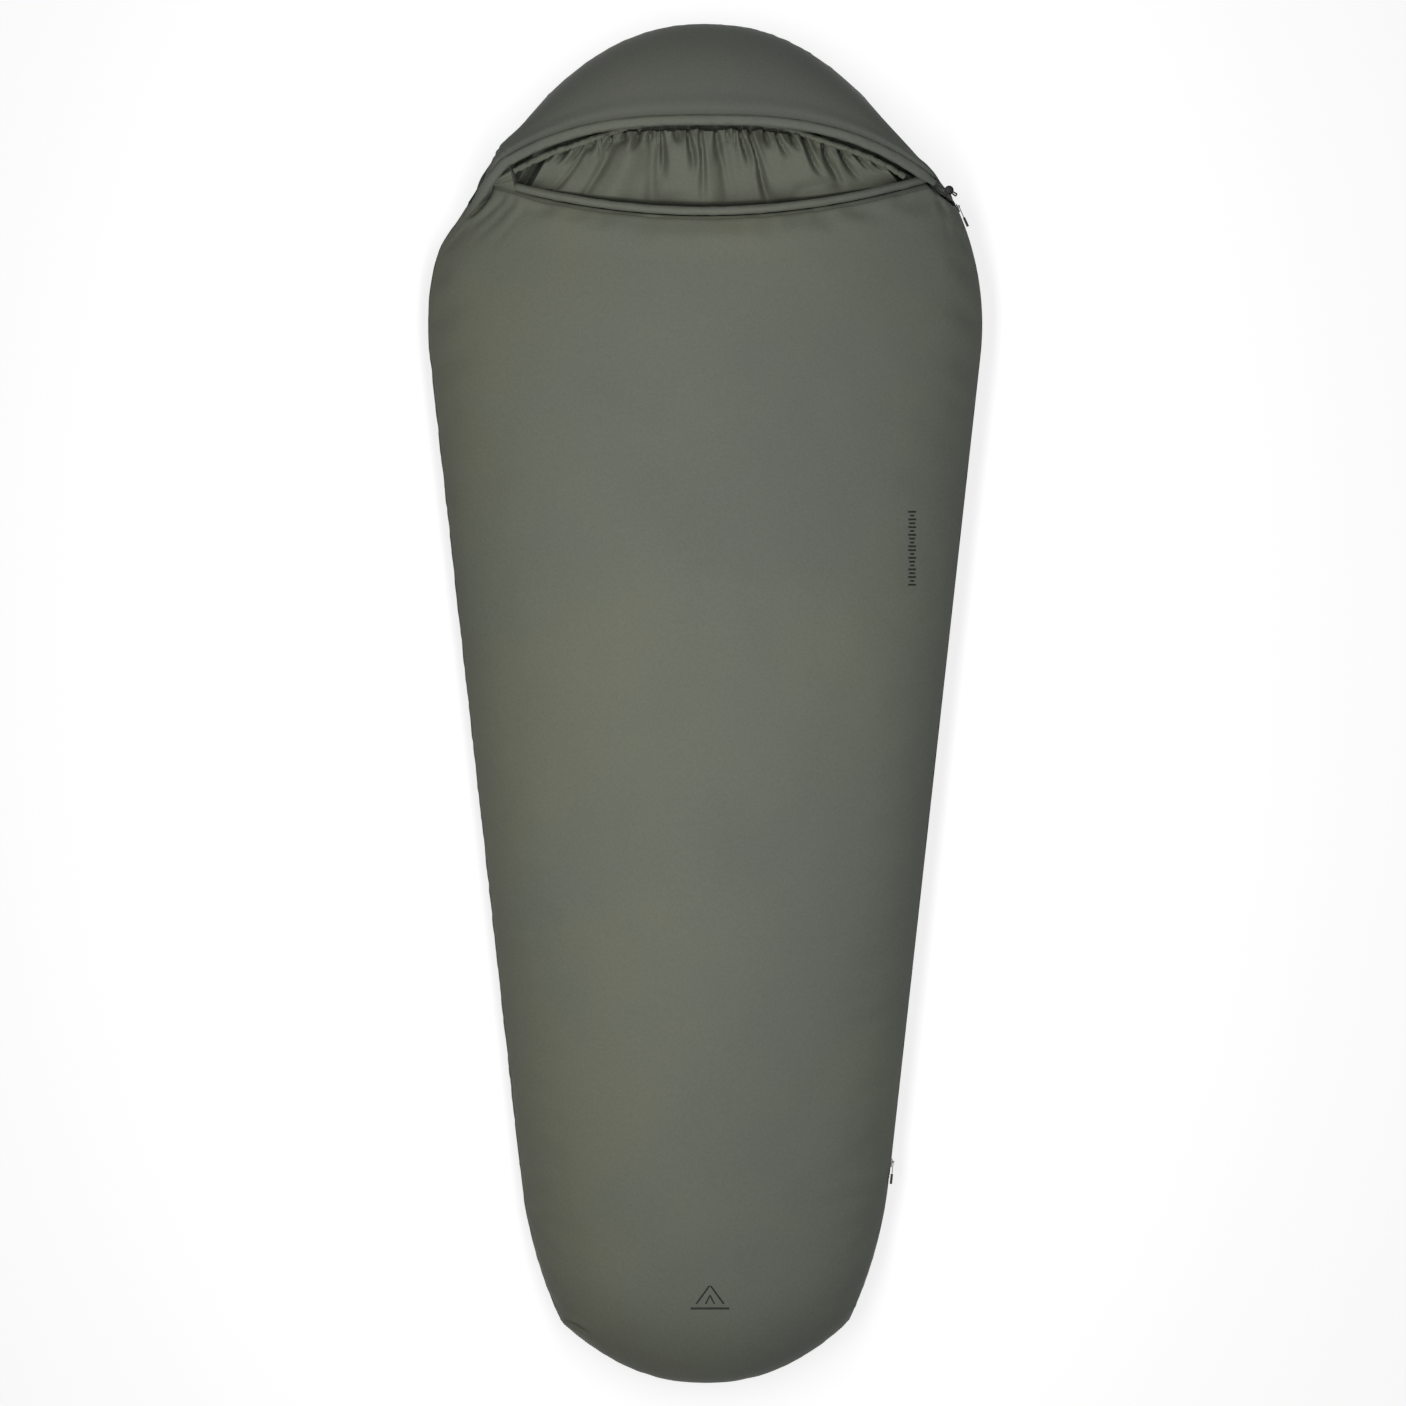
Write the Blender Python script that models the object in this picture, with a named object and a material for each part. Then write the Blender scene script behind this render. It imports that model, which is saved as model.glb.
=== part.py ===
"""A mummy-shaped, lightly padded bivy sack that lies closed on its base, with the hood at +Y.

Metres, +Z up. The origin is on the ground, under the middle of the sack's outline.
The body is a padded top panel over a flat base, joined by a seam half-way up the side.
Every padded panel is three layers: an outer shell, a filling and a lining.
"""

import math

import bmesh
import bpy
from mathutils import Matrix, Vector

# Outline, on the right-hand side; the left one mirrors it.
LENGTH = 2.20
TAPER = math.radians(6.33)
SHOULDER_RADIUS = 0.459
SHOULDER_TURN = math.radians(25.5)
SHOULDER_CENTRE = Vector((-0.0102, 0.6136))
STRAIGHT_LENGTH = 1.3452
FOOT_SIDE_RADIUS = 0.71
FOOT_SIDE_TURN = math.radians(19.0)
FOOT_SAG = 0.101
FOOT_SAG_START = 0.75
HOOD_RADIUS = 0.34
HOOD_CENTRE = Vector((0.0, LENGTH / 2 - HOOD_RADIUS))

# Heights and the roundness of the cross-sections.
SEAM_Z = 0.062
TOP_Z = 0.150
NECK_DROP = 0.022
NECK_DROP_END = 0.18
TOP_POWER = 2.2
ROOF_POWER = 3.0
BOWL = 0.055
FOOT_ROUND_START = 0.936
FOOT_DEPTH = 2.2
HOOD_DEPTH = 0.35

# The top panel's edge round the chin, and the hood's brim.
CHIN_DIP = 0.024
CHIN_RISE = 0.054
CHIN_PEAK_AT = 0.89
CHIN_END_AT = 0.985
CHIN_RAMP = 0.12
BRIM_RISE = 0.128
BRIM_POWER = 2.8
BRIM_CORNER = 0.010

# Layers.
GAP = 0.0003
SHELL = 0.0008
BASE_SHELL = 0.0010
LINING = 0.0006
LINING_CLEARANCE = 0.0015
FILL_INSET = 0.005
TOP_FILL = 0.020
BASE_FILL = 0.016
ROOF_FILL = 0.014
PAD_TOP = 0.086
PAD_RISE_Y = 0.125
PAD_BEND = 1.6
PAD_INSET = 0.015
PAD_RIM = 0.001
PAD_LIFT = 0.001
PAD_RIM_ANGLE = math.radians(80)

# Zip.
ZIP_GAP = 0.0055
SLOT = 0.0007
TEETH = 0.0030
TEETH_IN, TEETH_OUT = 0.0019, -0.0006
TAPE_EDGE, TAPE_WIDTH = 0.0033, 0.0107
TAPE_IN, TAPE_OUT = 0.0018, 0.0012
STOP_LENGTH = 0.003
TOP_SLIDER_AT = 0.0105
BOTTOM_SLIDER_AT = 0.0240
BAFFLE_RADIUS = 0.014
BAFFLE_INSET = 0.0470
BAFFLE_END = 0.03
BAFFLE_STEPS = 24
CROWN = Vector((0.004, 0.002, 0.0))

# Edgings, drawcord and cord lock.
BINDING_RADIUS = 0.007
EDGE_CLEARANCE = 0.002
BINDING_LEFT, BINDING_RIGHT = -0.80, 0.89
CHANNEL_RADIUS = 0.010
CHANNEL_WALL = 0.0012
CHANNEL_END = 0.92
CORD_RADIUS = 0.0015
TAIL_RADIUS = 0.00125
CORD_Z = 0.105
LOCK_CENTRE = Vector((0.3945, 0.8290, CORD_Z))
BARREL_RADIUS, BARREL_BOTTOM, BARREL_TOP = 0.0075, 0.091, 0.113
BORE_RADIUS, BORE_BOTTOM = 0.0053, 0.093
CORD_HOLE_RADIUS = 0.00225
BUTTON_RADIUS, BUTTON_BOTTOM, BUTTON_TOP = 0.005, 0.1015, 0.118
SPRING_RADIUS, SPRING_WIRE = 0.0036, 0.00035
SPRING_TURNS, SPRING_STEPS = 4, 10
KNOT_RADIUS = 0.0033

HALF_COLUMNS = [1, 0.985, 0.95, 0.89, 0.80, 0.67, 0.48, 0.25]
COLUMNS = [*HALF_COLUMNS, 0, *[-t for t in reversed(HALF_COLUMNS)]]
FLAT_SHARES = [0.85, 0.6, 0.3, 0, -0.3, -0.6, -0.85]
BOWL_ANGLES = [math.radians(90 - 30 * i) for i in range(4)]
QUARTER = [math.radians(90 - 22.5 * i) for i in range(5)]
SHOULDER_ROWS, STRAIGHT_ROWS = 8, 4


def material(name, colour, roughness, metallic=0.0):
    made = bpy.data.materials.new(name)
    made.use_nodes = True
    shader = made.node_tree.nodes["Principled BSDF"]
    shader.inputs["Base Color"].default_value = (*colour, 1.0)
    shader.inputs["Roughness"].default_value = roughness
    shader.inputs["Metallic"].default_value = metallic
    return made


def start_scene():
    for old in list(bpy.data.objects):
        bpy.data.objects.remove(old, do_unlink=True)
    scene = bpy.context.scene.collection
    parts = bpy.data.collections.new("bivy_sack")
    cutters = bpy.data.collections.new("cutters")
    cutters.hide_render = True
    scene.children.link(parts)
    scene.children.link(cutters)
    return parts, cutters


PARTS, CUTTERS = start_scene()
SHELL_FABRIC = material("shell_fabric", (0.135, 0.140, 0.112), 0.75)
BASE_FABRIC = material("base_fabric", (0.095, 0.100, 0.080), 0.70)
LINING_FABRIC = material("lining_fabric", (0.110, 0.116, 0.090), 0.75)
FILLING = material("filling", (0.60, 0.60, 0.58), 0.95)
ZIP_FABRIC = material("zip_tape", (0.030, 0.032, 0.028), 0.80)
ZIP_PLASTIC = material("zip_teeth", (0.020, 0.020, 0.020), 0.45)
BLACK_METAL = material("zip_metal", (0.035, 0.035, 0.036), 0.35, 0.9)
BLACK_PLASTIC = material("black_plastic", (0.012, 0.012, 0.013), 0.45)
STEEL = material("spring_steel", (0.60, 0.60, 0.62), 0.30, 1.0)
CORD = material("cord", (0.020, 0.021, 0.018), 0.85)


# The outline as functions of how far along the side a point is.
# b runs from 0 at the neck corner to 1 at the foot corner.

SHOULDER_LENGTH = SHOULDER_RADIUS * (SHOULDER_TURN + TAPER)
FOOT_SIDE_LENGTH = FOOT_SIDE_RADIUS * FOOT_SIDE_TURN
SIDE_LENGTH = SHOULDER_LENGTH + STRAIGHT_LENGTH + FOOT_SIDE_LENGTH
STRAIGHT_START_B = SHOULDER_LENGTH / SIDE_LENGTH
STRAIGHT_END_B = (SHOULDER_LENGTH + STRAIGHT_LENGTH) / SIDE_LENGTH
FOOT_PANEL_B = 1 - BOWL / FOOT_DEPTH
FOOT_ROWS = [0.815, STRAIGHT_END_B, 0.905, FOOT_ROUND_START, 0.956]


def unit(angle):
    return Vector((math.cos(angle), math.sin(angle)))


def side_frame(length):
    """The outline's point this far from the neck corner, and the angle of its outward normal."""
    if length <= SHOULDER_LENGTH:
        angle = SHOULDER_TURN - length / SHOULDER_RADIUS
        return SHOULDER_CENTRE + SHOULDER_RADIUS * unit(angle), angle
    start = SHOULDER_CENTRE + SHOULDER_RADIUS * unit(-TAPER)
    down = unit(-TAPER - math.pi / 2)
    length -= SHOULDER_LENGTH
    if length <= STRAIGHT_LENGTH:
        return start + down * length, -TAPER
    start = start + down * STRAIGHT_LENGTH
    centre = start - FOOT_SIDE_RADIUS * unit(-TAPER)
    angle = -TAPER - (length - STRAIGHT_LENGTH) / FOOT_SIDE_RADIUS
    return centre + FOOT_SIDE_RADIUS * unit(angle), angle


def side(b):
    return side_frame(b * SIDE_LENGTH)[0]


NECK = side(0)


def hood_side(b):
    """b runs from 0 at the neck corner to 1 where the side meets the round crown."""
    reach = NECK - HOOD_CENTRE
    turn = math.acos(HOOD_RADIUS / reach.length)
    crown = HOOD_CENTRE + HOOD_RADIUS * unit(math.atan2(reach.y, reach.x) + turn)
    return NECK.lerp(crown, b)


CROWN_SAG = LENGTH / 2 - hood_side(1).y


def arch(t, power):
    """The share of a rounded section's full height, at the fraction t of the half width."""
    return max(1 - abs(t) ** power, 0) ** (1 / power)


def over_end(angle):
    """How far along a rounded end an angle lies."""
    return max(math.cos(angle), 0) ** (2 / TOP_POWER)


def chin(t):
    """How far the top panel's edge stands beyond the neck line."""
    if abs(t) < CHIN_PEAK_AT:
        return CHIN_RISE * (t / CHIN_PEAK_AT) ** 2 - CHIN_DIP
    return (CHIN_RISE - CHIN_DIP) * max(CHIN_END_AT - abs(t), 0) / (CHIN_END_AT - CHIN_PEAK_AT)


def brim(t):
    return BRIM_RISE * (1 - abs(t) ** BRIM_POWER)


def setback(curve, t, radius):
    """How far back along Y an edge stays clear of a tube that follows the curve."""
    step = 0.01
    slope = (curve(t + step) - curve(t - step)) / (2 * step * NECK.x)
    return radius * math.hypot(1, slope) + EDGE_CLEARANCE


def foot_sag(b, t):
    ramp = max(b - FOOT_SAG_START, 0) / (1 - FOOT_SAG_START)
    return FOOT_SAG * (1 - min(abs(t), 1) ** 2.2) * ramp**2


def top_height(b):
    return TOP_Z - NECK_DROP * max(1 - b / NECK_DROP_END, 0) ** 2


def side_gap(t, b, sealed):
    """The shells stop further from the seam on the right-hand side, where the zip lies."""
    beside_zip = t > 0 and b < STRAIGHT_END_B + 1e-6
    return ZIP_GAP if beside_zip and not sealed else GAP


# Surfaces. An inset moves a surface in from the outline, and a depth in from above or below.


def top_surface(inset, depth, sealed=True):
    """The top panel: a column is a fraction t, a row a place b and an angle over the foot."""

    def point(t, row):
        b, over = row
        b += (1 - inset / FOOT_DEPTH - FOOT_ROUND_START) * over_end(over)
        edge = side(b)
        thin = 1 - 0.5 * max(1 - b / CHIN_RAMP, 0)
        height = (top_height(b) - SEAM_Z - depth * thin) * math.sin(over) ** (2 / TOP_POWER)
        gap = side_gap(t, b, sealed)
        z = SEAM_Z + gap + max(height - gap, 0) * arch(t, TOP_POWER)
        front = chin(t * (edge.x - inset) / edge.x) * max(1 - b / CHIN_RAMP, 0) ** 2
        y = edge.y + front - foot_sag(b, t)
        return Vector(((edge.x - inset) * t, y, z))

    return point


def lower_surface(outline, end_sag, end_depth, inset, depth, sealed=True):
    """A dish: a column is a share of its flat width and an angle up its side.

    A row is a place b, or None in the end's rounding, and an angle up the end.
    """

    def point(column, row):
        share, across = column
        b, up = row
        if b is None:
            b = 1 - (inset + (BOWL - inset) * (1 - math.sin(up))) / end_depth
        edge = outline(b)
        x = share * (edge.x - BOWL) + math.copysign((BOWL - inset) * math.sin(across), share)
        gap = side_gap(share, b, sealed)
        rise = 1 - math.cos(across) * math.cos(up)
        z = depth + (SEAM_Z - gap - depth) * rise
        return Vector((x, edge.y + end_sag(b, x / (edge.x - inset)), z))

    return point


def body_lower(inset, depth, sealed=True):
    return lower_surface(side, lambda b, t: -foot_sag(b, t), FOOT_DEPTH, inset, depth, sealed)


def crown_sag(b, t):
    return CROWN_SAG * (1 - min(abs(t), 1) ** 2.2) * b**1.5


def hood_lower(inset, depth):
    return lower_surface(hood_side, crown_sag, HOOD_DEPTH, inset, depth)


def roof_surface(inset, depth):
    """The hood's roof: a column is a fraction t, a row an angle from the brim down to the crown."""

    def point(t, over):
        b = (1 - inset / HOOD_DEPTH) * over_end(over)
        edge = hood_side(b)
        height = (TOP_Z - SEAM_Z - depth) * math.sin(over) ** (2 / TOP_POWER)
        z = SEAM_Z + GAP + max(height - GAP, 0) * arch(t, ROOF_POWER)
        wide = t * (edge.x - inset) / edge.x
        front = brim(wide) + setback(brim, wide, CHANNEL_RADIUS) + BRIM_CORNER * abs(wide) ** 8
        y = edge.y + (1 - b) * front + b * CROWN_SAG * (1 - abs(t) ** 2.2)
        return Vector(((edge.x - inset) * t, y, z))

    return point


pad_underside = hood_lower(PAD_INSET, BASE_SHELL + GAP + PAD_LIFT)


def pad_surface(column, row):
    """The top of the padding under the head: it rises from the neck like a low pillow."""
    below = pad_underside(column, row)
    rise = min(max((below.y - NECK.y) / PAD_RISE_Y, 0), PAD_BEND)
    top = BASE_FILL + (PAD_TOP - BASE_FILL) * math.sin(math.pi / 2 * rise)
    across, up = column[1], row[1]
    share = (math.cos(across) * math.cos(up)) ** 2
    below.z += PAD_RIM + max(top - below.z - PAD_RIM, 0) * share
    return below


def roof_z(t):
    """The height of the hood's front edge."""
    return SEAM_Z + (TOP_Z - SEAM_Z) * arch(t, ROOF_POWER)


def chin_z(t):
    """The height of the top panel's front edge."""
    return SEAM_Z + (top_height(0) - SEAM_Z) * arch(t, TOP_POWER)


# Builders.


def add(name, mesh, surface, collection=PARTS):
    made = bpy.data.objects.new(name, mesh)
    collection.objects.link(made)
    if surface:
        mesh.materials.append(surface)
    return made


def finish_mesh(name, work, surface, collection=PARTS):
    bmesh.ops.recalc_face_normals(work, faces=work.faces)
    mesh = bpy.data.meshes.new(name)
    work.to_mesh(mesh)
    work.free()
    mesh.shade_smooth()
    mesh.set_sharp_from_angle(angle=math.radians(40))
    return add(name, mesh, surface, collection)


def layer(name, outer, inner, columns, rows, surface, closed=False):
    """The closed solid between two surfaces that share their columns and rows."""
    work = bmesh.new()
    last = len(columns) if closed else len(columns) - 1
    sheets = []
    for point in (outer, inner):
        grid = [[work.verts.new(point(column, row)) for column in columns] for row in rows]
        sheets.append(grid)
        for above, below in zip(grid, grid[1:]):
            for i in range(last):
                j = (i + 1) % len(columns)
                work.faces.new((above[i], above[j], below[j], below[i]))
    first, second = sheets
    for row in (0, -1):
        for i in range(last):
            j = (i + 1) % len(columns)
            work.faces.new((first[row][i], first[row][j], second[row][j], second[row][i]))
    if not closed:
        for column in (0, -1):
            for j in range(len(rows) - 1):
                ends = (first[j][column], first[j + 1][column])
                work.faces.new((*ends, second[j + 1][column], second[j][column]))
    return finish_mesh(name, work, surface)


def tube(name, points, radius, surface, sides=2):
    """A round cord or roll through the points."""
    curve = bpy.data.curves.new(name, "CURVE")
    curve.dimensions = "3D"
    curve.bevel_depth = radius
    curve.bevel_resolution = sides
    curve.use_fill_caps = True
    spline = curve.splines.new("POLY")
    spline.points.add(len(points) - 1)
    for knot, point in zip(spline.points, points):
        knot.co = (*point, 1)
    return add(name, curve, surface)


def smooth_route(points, spacing):
    """Points at an even spacing on the smooth curve through a route's points."""
    ends = [points[0] * 2 - points[1], *points, points[-1] * 2 - points[-2]]
    fine = []
    for a, b, c, d in zip(ends, ends[1:], ends[2:], ends[3:]):
        for i in range(24):
            u = i / 24
            bend = (2 * a - 5 * b + 4 * c - d) * u**2 + (3 * b - a - 3 * c + d) * u**3
            fine.append((2 * b + (c - a) * u + bend) / 2)
    fine.append(points[-1])
    lengths = [0.0]
    for a, b in zip(fine, fine[1:]):
        lengths.append(lengths[-1] + (b - a).length)
    count = round(lengths[-1] / spacing)
    even = [fine[0]]
    here = 0
    for k in range(1, count):
        while lengths[here + 1] < k * lengths[-1] / count:
            here += 1
        part = (k * lengths[-1] / count - lengths[here]) / (lengths[here + 1] - lengths[here])
        even.append(fine[here].lerp(fine[here + 1], part))
    return [*even, fine[-1]]


def box(name, low, high, surface=None, collection=CUTTERS):
    low, high = Vector(low) / 1000, Vector(high) / 1000
    work = bmesh.new()
    shape = Matrix.LocRotScale((low + high) / 2, None, high - low)
    bmesh.ops.create_cube(work, size=1, matrix=shape)
    return finish_mesh(name, work, surface, collection)


def cylinder(name, radius, low, high, surface=None, collection=CUTTERS, sides=24):
    """A cylinder along Z between two heights."""
    work = bmesh.new()
    middle = Matrix.Translation((0, 0, (low + high) / 2))
    bmesh.ops.create_cone(
        work, cap_ends=True, segments=sides, radius1=radius, radius2=radius,
        depth=high - low, matrix=middle,
    )
    return finish_mesh(name, work, surface, collection)


def combine(target, other, operation):
    other.parent = target
    other.display_type = "WIRE"
    other.hide_render = True
    change = target.modifiers.new(other.name, "BOOLEAN")
    change.operation = operation
    change.object = other


def empty(name, location, parent=None):
    made = bpy.data.objects.new(name, None)
    PARTS.objects.link(made)
    made.location = location
    made.parent = parent
    return made


# The padded body.


def body_rows(end):
    shoulder = [STRAIGHT_START_B * i / SHOULDER_ROWS for i in range(SHOULDER_ROWS)]
    reach = FOOT_SAG_START - STRAIGHT_START_B
    straight = [STRAIGHT_START_B + reach * i / STRAIGHT_ROWS for i in range(STRAIGHT_ROWS + 1)]
    return shoulder + straight + [b for b in [*FOOT_ROWS, end] if b <= end]


def dish_columns(limit=math.pi / 2):
    """From the right-hand rim down to the flat base, across it, and up to the left-hand rim."""
    angles = [angle * limit / (math.pi / 2) for angle in BOWL_ANGLES]
    right, left = [(1, angle) for angle in angles], [(-1, angle) for angle in reversed(angles)]
    return [*right, *[(share, 0.0) for share in FLAT_SHARES], *left]


def make_top_panel():
    rows = [(b, math.pi / 2) for b in body_rows(FOOT_ROUND_START)]
    rows += [(FOOT_ROUND_START, over) for over in QUARTER[1:]]
    depth = SHELL + GAP
    shell = top_surface(0, 0, sealed=False), top_surface(SHELL, SHELL, sealed=False)
    fill = top_surface(FILL_INSET, depth), top_surface(FILL_INSET + TOP_FILL, depth + TOP_FILL)
    inset, depth = FILL_INSET + TOP_FILL + LINING_CLEARANCE, depth + TOP_FILL + 2 * GAP
    lining = top_surface(inset, depth), top_surface(inset + LINING, depth + 2 * LINING)
    layer("top_shell", *shell, COLUMNS, rows, SHELL_FABRIC)
    layer("top_fill", *fill, COLUMNS, rows, FILLING)
    layer("top_lining", *lining, COLUMNS, rows, LINING_FABRIC)


def make_base_and_foot():
    base_rows = [(b, 0.0) for b in body_rows(FOOT_PANEL_B - GAP)]
    foot_rows = [(None, math.pi / 2 - up) for up in QUARTER]
    columns = dish_columns()
    outer, inner = BASE_SHELL + GAP, BASE_SHELL + GAP + BASE_FILL
    shell = body_lower(0, 0, sealed=False), body_lower(BASE_SHELL, BASE_SHELL, sealed=False)
    fill = body_lower(FILL_INSET, outer), body_lower(FILL_INSET + BASE_FILL, inner)
    inset, depth = FILL_INSET + BASE_FILL + LINING_CLEARANCE, inner + GAP
    lining = body_lower(inset, depth), body_lower(inset + LINING, depth + LINING)
    for name, rows in (("base", base_rows), ("foot", foot_rows)):
        layer(f"{name}_shell", *shell, columns, rows, BASE_FABRIC)
        layer(f"{name}_fill", *fill, columns, rows, FILLING)
        layer(f"{name}_lining", *lining, columns, rows, LINING_FABRIC)


def make_hood():
    over = [math.radians(90 - 15 * i) for i in range(7)]
    depth = SHELL + GAP
    shell = roof_surface(0, 0), roof_surface(SHELL, SHELL)
    fill = roof_surface(FILL_INSET, depth), roof_surface(FILL_INSET + ROOF_FILL, depth + ROOF_FILL)
    inset, depth = FILL_INSET + ROOF_FILL + LINING_CLEARANCE, depth + ROOF_FILL + 2 * GAP
    lining = roof_surface(inset, depth), roof_surface(inset + LINING, depth + LINING)
    layer("hood_roof_shell", *shell, COLUMNS, over, SHELL_FABRIC)
    layer("hood_roof_fill", *fill, COLUMNS, over, FILLING)
    layer("hood_roof_lining", *lining, COLUMNS, over, LINING_FABRIC)

    start, bowl_start = 2 * GAP / HOOD_DEPTH, 1 - BOWL / HOOD_DEPTH
    flat = [(start + (bowl_start - start) * i / 4, 0.0) for i in range(4)]
    rows = flat + [(None, math.pi / 2 - up) for up in QUARTER]
    layer(
        "hood_back_shell", hood_lower(0, 0), hood_lower(BASE_SHELL, BASE_SHELL),
        dish_columns(), rows, BASE_FABRIC,
    )
    share = PAD_RIM_ANGLE / (math.pi / 2)
    rows = flat + [(None, (math.pi / 2 - up) * share) for up in QUARTER]
    columns = dish_columns(PAD_RIM_ANGLE)
    layer("hood_back_fill", pad_underside, pad_surface, columns, rows, FILLING)

    def above(height):
        return lambda column, row: pad_surface(column, row) + Vector((0, 0, height))

    layer("hood_back_lining", above(GAP), above(GAP + SHELL), columns, rows, LINING_FABRIC)


# Edgings.


def binding_point(t):
    y = NECK.y + chin(t) + setback(chin, t, BINDING_RADIUS)
    return Vector((NECK.x * t, y, chin_z(t) - BINDING_RADIUS))


def channel_point(t):
    return Vector((NECK.x * t, NECK.y + brim(t), roof_z(t) - CHANNEL_RADIUS))


def across(start, end):
    """The panels' own columns between two fractions, so that an edging runs parallel to its panel."""
    inner = [t for t in reversed(COLUMNS) if start + 0.01 < t < end - 0.01]
    return [start, *inner, end]


def make_face_binding():
    points = [binding_point(t) for t in across(BINDING_LEFT, BINDING_RIGHT)]
    tube("face_binding", points, BINDING_RADIUS, SHELL_FABRIC)


def make_brim_channel():
    """An open-ended sleeve, round which the fabric of the brim is turned."""

    def wall(radius):
        def point(around, t):
            centre = channel_point(t)
            ahead = channel_point(t + 0.005) - channel_point(t - 0.005)
            up = Vector((0, 0, 1)).cross(ahead).cross(ahead).normalized()
            aside = ahead.cross(up).normalized()
            return centre + radius * (math.cos(around) * up + math.sin(around) * aside)

        return point

    around = [2 * math.pi * i / 8 for i in range(8)]
    rows = across(-CHANNEL_END, CHANNEL_END)
    layer(
        "brim_channel", wall(CHANNEL_RADIUS), wall(CHANNEL_RADIUS - CHANNEL_WALL),
        around, rows, SHELL_FABRIC, closed=True,
    )


def make_drawcord():
    """The cord in the brim. It leaves the right-hand end of the sleeve and passes through the cord lock."""
    end = CHANNEL_END - 0.005
    hidden = [channel_point(t) for t in across(-end, end)]
    tube("hood_drawcord", hidden, CORD_RADIUS, CORD)

    mouth = channel_point(CHANNEL_END)
    mouth.z = CORD_Z
    along = (LOCK_CENTRE - mouth).normalized()
    start = mouth + along * 0.001
    beyond = LOCK_CENTRE + along * (BARREL_RADIUS + 0.001)
    straight = [start.lerp(beyond, i / 4) for i in range(5)]
    route = straight + [
        Vector(point)
        for point in (
            (0.4052, 0.8245, 0.1020),
            (0.4070, 0.8238, 0.0950),
            (0.4075, 0.8236, 0.0750),
            (0.4074, 0.8236, 0.0500),
            (0.4072, 0.8237, 0.0280),
            (0.4066, 0.8242, 0.0110),
            (0.4035, 0.8272, 0.0035),
            (0.3965, 0.8325, 0.0018),
            (0.3830, 0.8390, 0.0016),
            (0.3650, 0.8480, 0.0016),
            (0.3460, 0.8620, 0.0016),
            (0.3270, 0.8800, 0.0016),
            (0.3090, 0.9000, 0.0016),
        )
    ]
    tail = smooth_route(route, 2.5 * 2 * TAIL_RADIUS)
    tube("drawcord_tail", tail, TAIL_RADIUS, CORD)
    onward = (tail[-1] - tail[-2]).normalized()
    work = bmesh.new()
    bmesh.ops.create_uvsphere(work, u_segments=12, v_segments=8, radius=KNOT_RADIUS)
    knot = finish_mesh("drawcord_knot", work, CORD)
    knot.location = tail[-1] + onward * (KNOT_RADIUS + GAP)
    knot.location.z = KNOT_RADIUS
    return along


def make_cord_lock(along):
    barrel = cylinder(
        "cord_lock_barrel", BARREL_RADIUS, BARREL_BOTTOM - CORD_Z, BARREL_TOP - CORD_Z,
        BLACK_PLASTIC, PARTS,
    )
    barrel.location = LOCK_CENTRE
    barrel.rotation_euler.z = math.atan2(along.y, along.x)
    bore = cylinder("barrel_bore", BORE_RADIUS, BORE_BOTTOM - CORD_Z, 0.02)
    combine(barrel, bore, "DIFFERENCE")
    hole = cylinder("barrel_cord_hole", CORD_HOLE_RADIUS, -0.02, 0.02, sides=16)
    hole.rotation_euler.y = math.pi / 2
    combine(barrel, hole, "DIFFERENCE")

    button = cylinder(
        "cord_lock_button", BUTTON_RADIUS, BUTTON_BOTTOM - CORD_Z, BUTTON_TOP - CORD_Z,
        BLACK_PLASTIC, PARTS,
    )
    button.location = LOCK_CENTRE
    button.rotation_euler.z = barrel.rotation_euler.z
    combine(button, box("button_slot", (-10, -1.7, -1.6), (10, 1.7, 5.6)), "DIFFERENCE")

    low, high = BORE_BOTTOM + SPRING_WIRE + GAP, BUTTON_BOTTOM - SPRING_WIRE - GAP
    helix = []
    for i in range(SPRING_TURNS * SPRING_STEPS + 1):
        aside = SPRING_RADIUS * unit(2 * math.pi * i / SPRING_STEPS)
        height = low + (high - low) * i / (SPRING_TURNS * SPRING_STEPS)
        helix.append(Vector((*(LOCK_CENTRE.xy + aside), height)))
    tube("cord_lock_spring", helix, SPRING_WIRE, STEEL)


# Zip.

ZIP_LENGTH = SHOULDER_LENGTH + STRAIGHT_LENGTH - 0.005


def zip_strip(low, high, out, inside, start, end, name, surface):
    """A strip of the zip, between two heights off the seam line and two insets from the outline."""
    lengths = [b * SIDE_LENGTH for b in body_rows(STRAIGHT_END_B)]
    lengths = [start, *[here for here in lengths if start + 0.004 < here < end - 0.004], end]

    def wall(inset):
        def point(height, length):
            where, _ = side_frame(length)
            reach = top_height(length / SIDE_LENGTH) - SEAM_Z
            share = arch(height / reach, TOP_POWER)
            return Vector(((where.x - inset) * share, where.y, SEAM_Z + height))

        return point

    heights = [low + (high - low) * i / 2 for i in range(3)] if high - low > 0.005 else [low, high]
    heights = heights if name.endswith("upper") else [-height for height in heights]
    layer(name, wall(out), wall(inside), heights, lengths, surface)


def make_zip():
    for half in ("upper", "lower"):
        zip_strip(
            TAPE_EDGE, TAPE_EDGE + TAPE_WIDTH, TAPE_OUT, TAPE_IN, 0.0, ZIP_LENGTH,
            f"zip_tape_{half}", ZIP_FABRIC,
        )
        zip_strip(
            SLOT, TEETH, TEETH_OUT, TEETH_IN, STOP_LENGTH + 2 * GAP, ZIP_LENGTH - STOP_LENGTH,
            f"zip_teeth_{half}", ZIP_PLASTIC,
        )
        zip_strip(
            SLOT, TEETH, TEETH_OUT, TEETH_IN, 0.0, STOP_LENGTH,
            f"zip_top_stop_{half}", BLACK_METAL,
        )
    zip_strip(
        -TEETH, TEETH, TEETH_OUT, TEETH_IN, ZIP_LENGTH - STOP_LENGTH + 2 * GAP, ZIP_LENGTH,
        "zip_bottom_stop", BLACK_METAL,
    )


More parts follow.
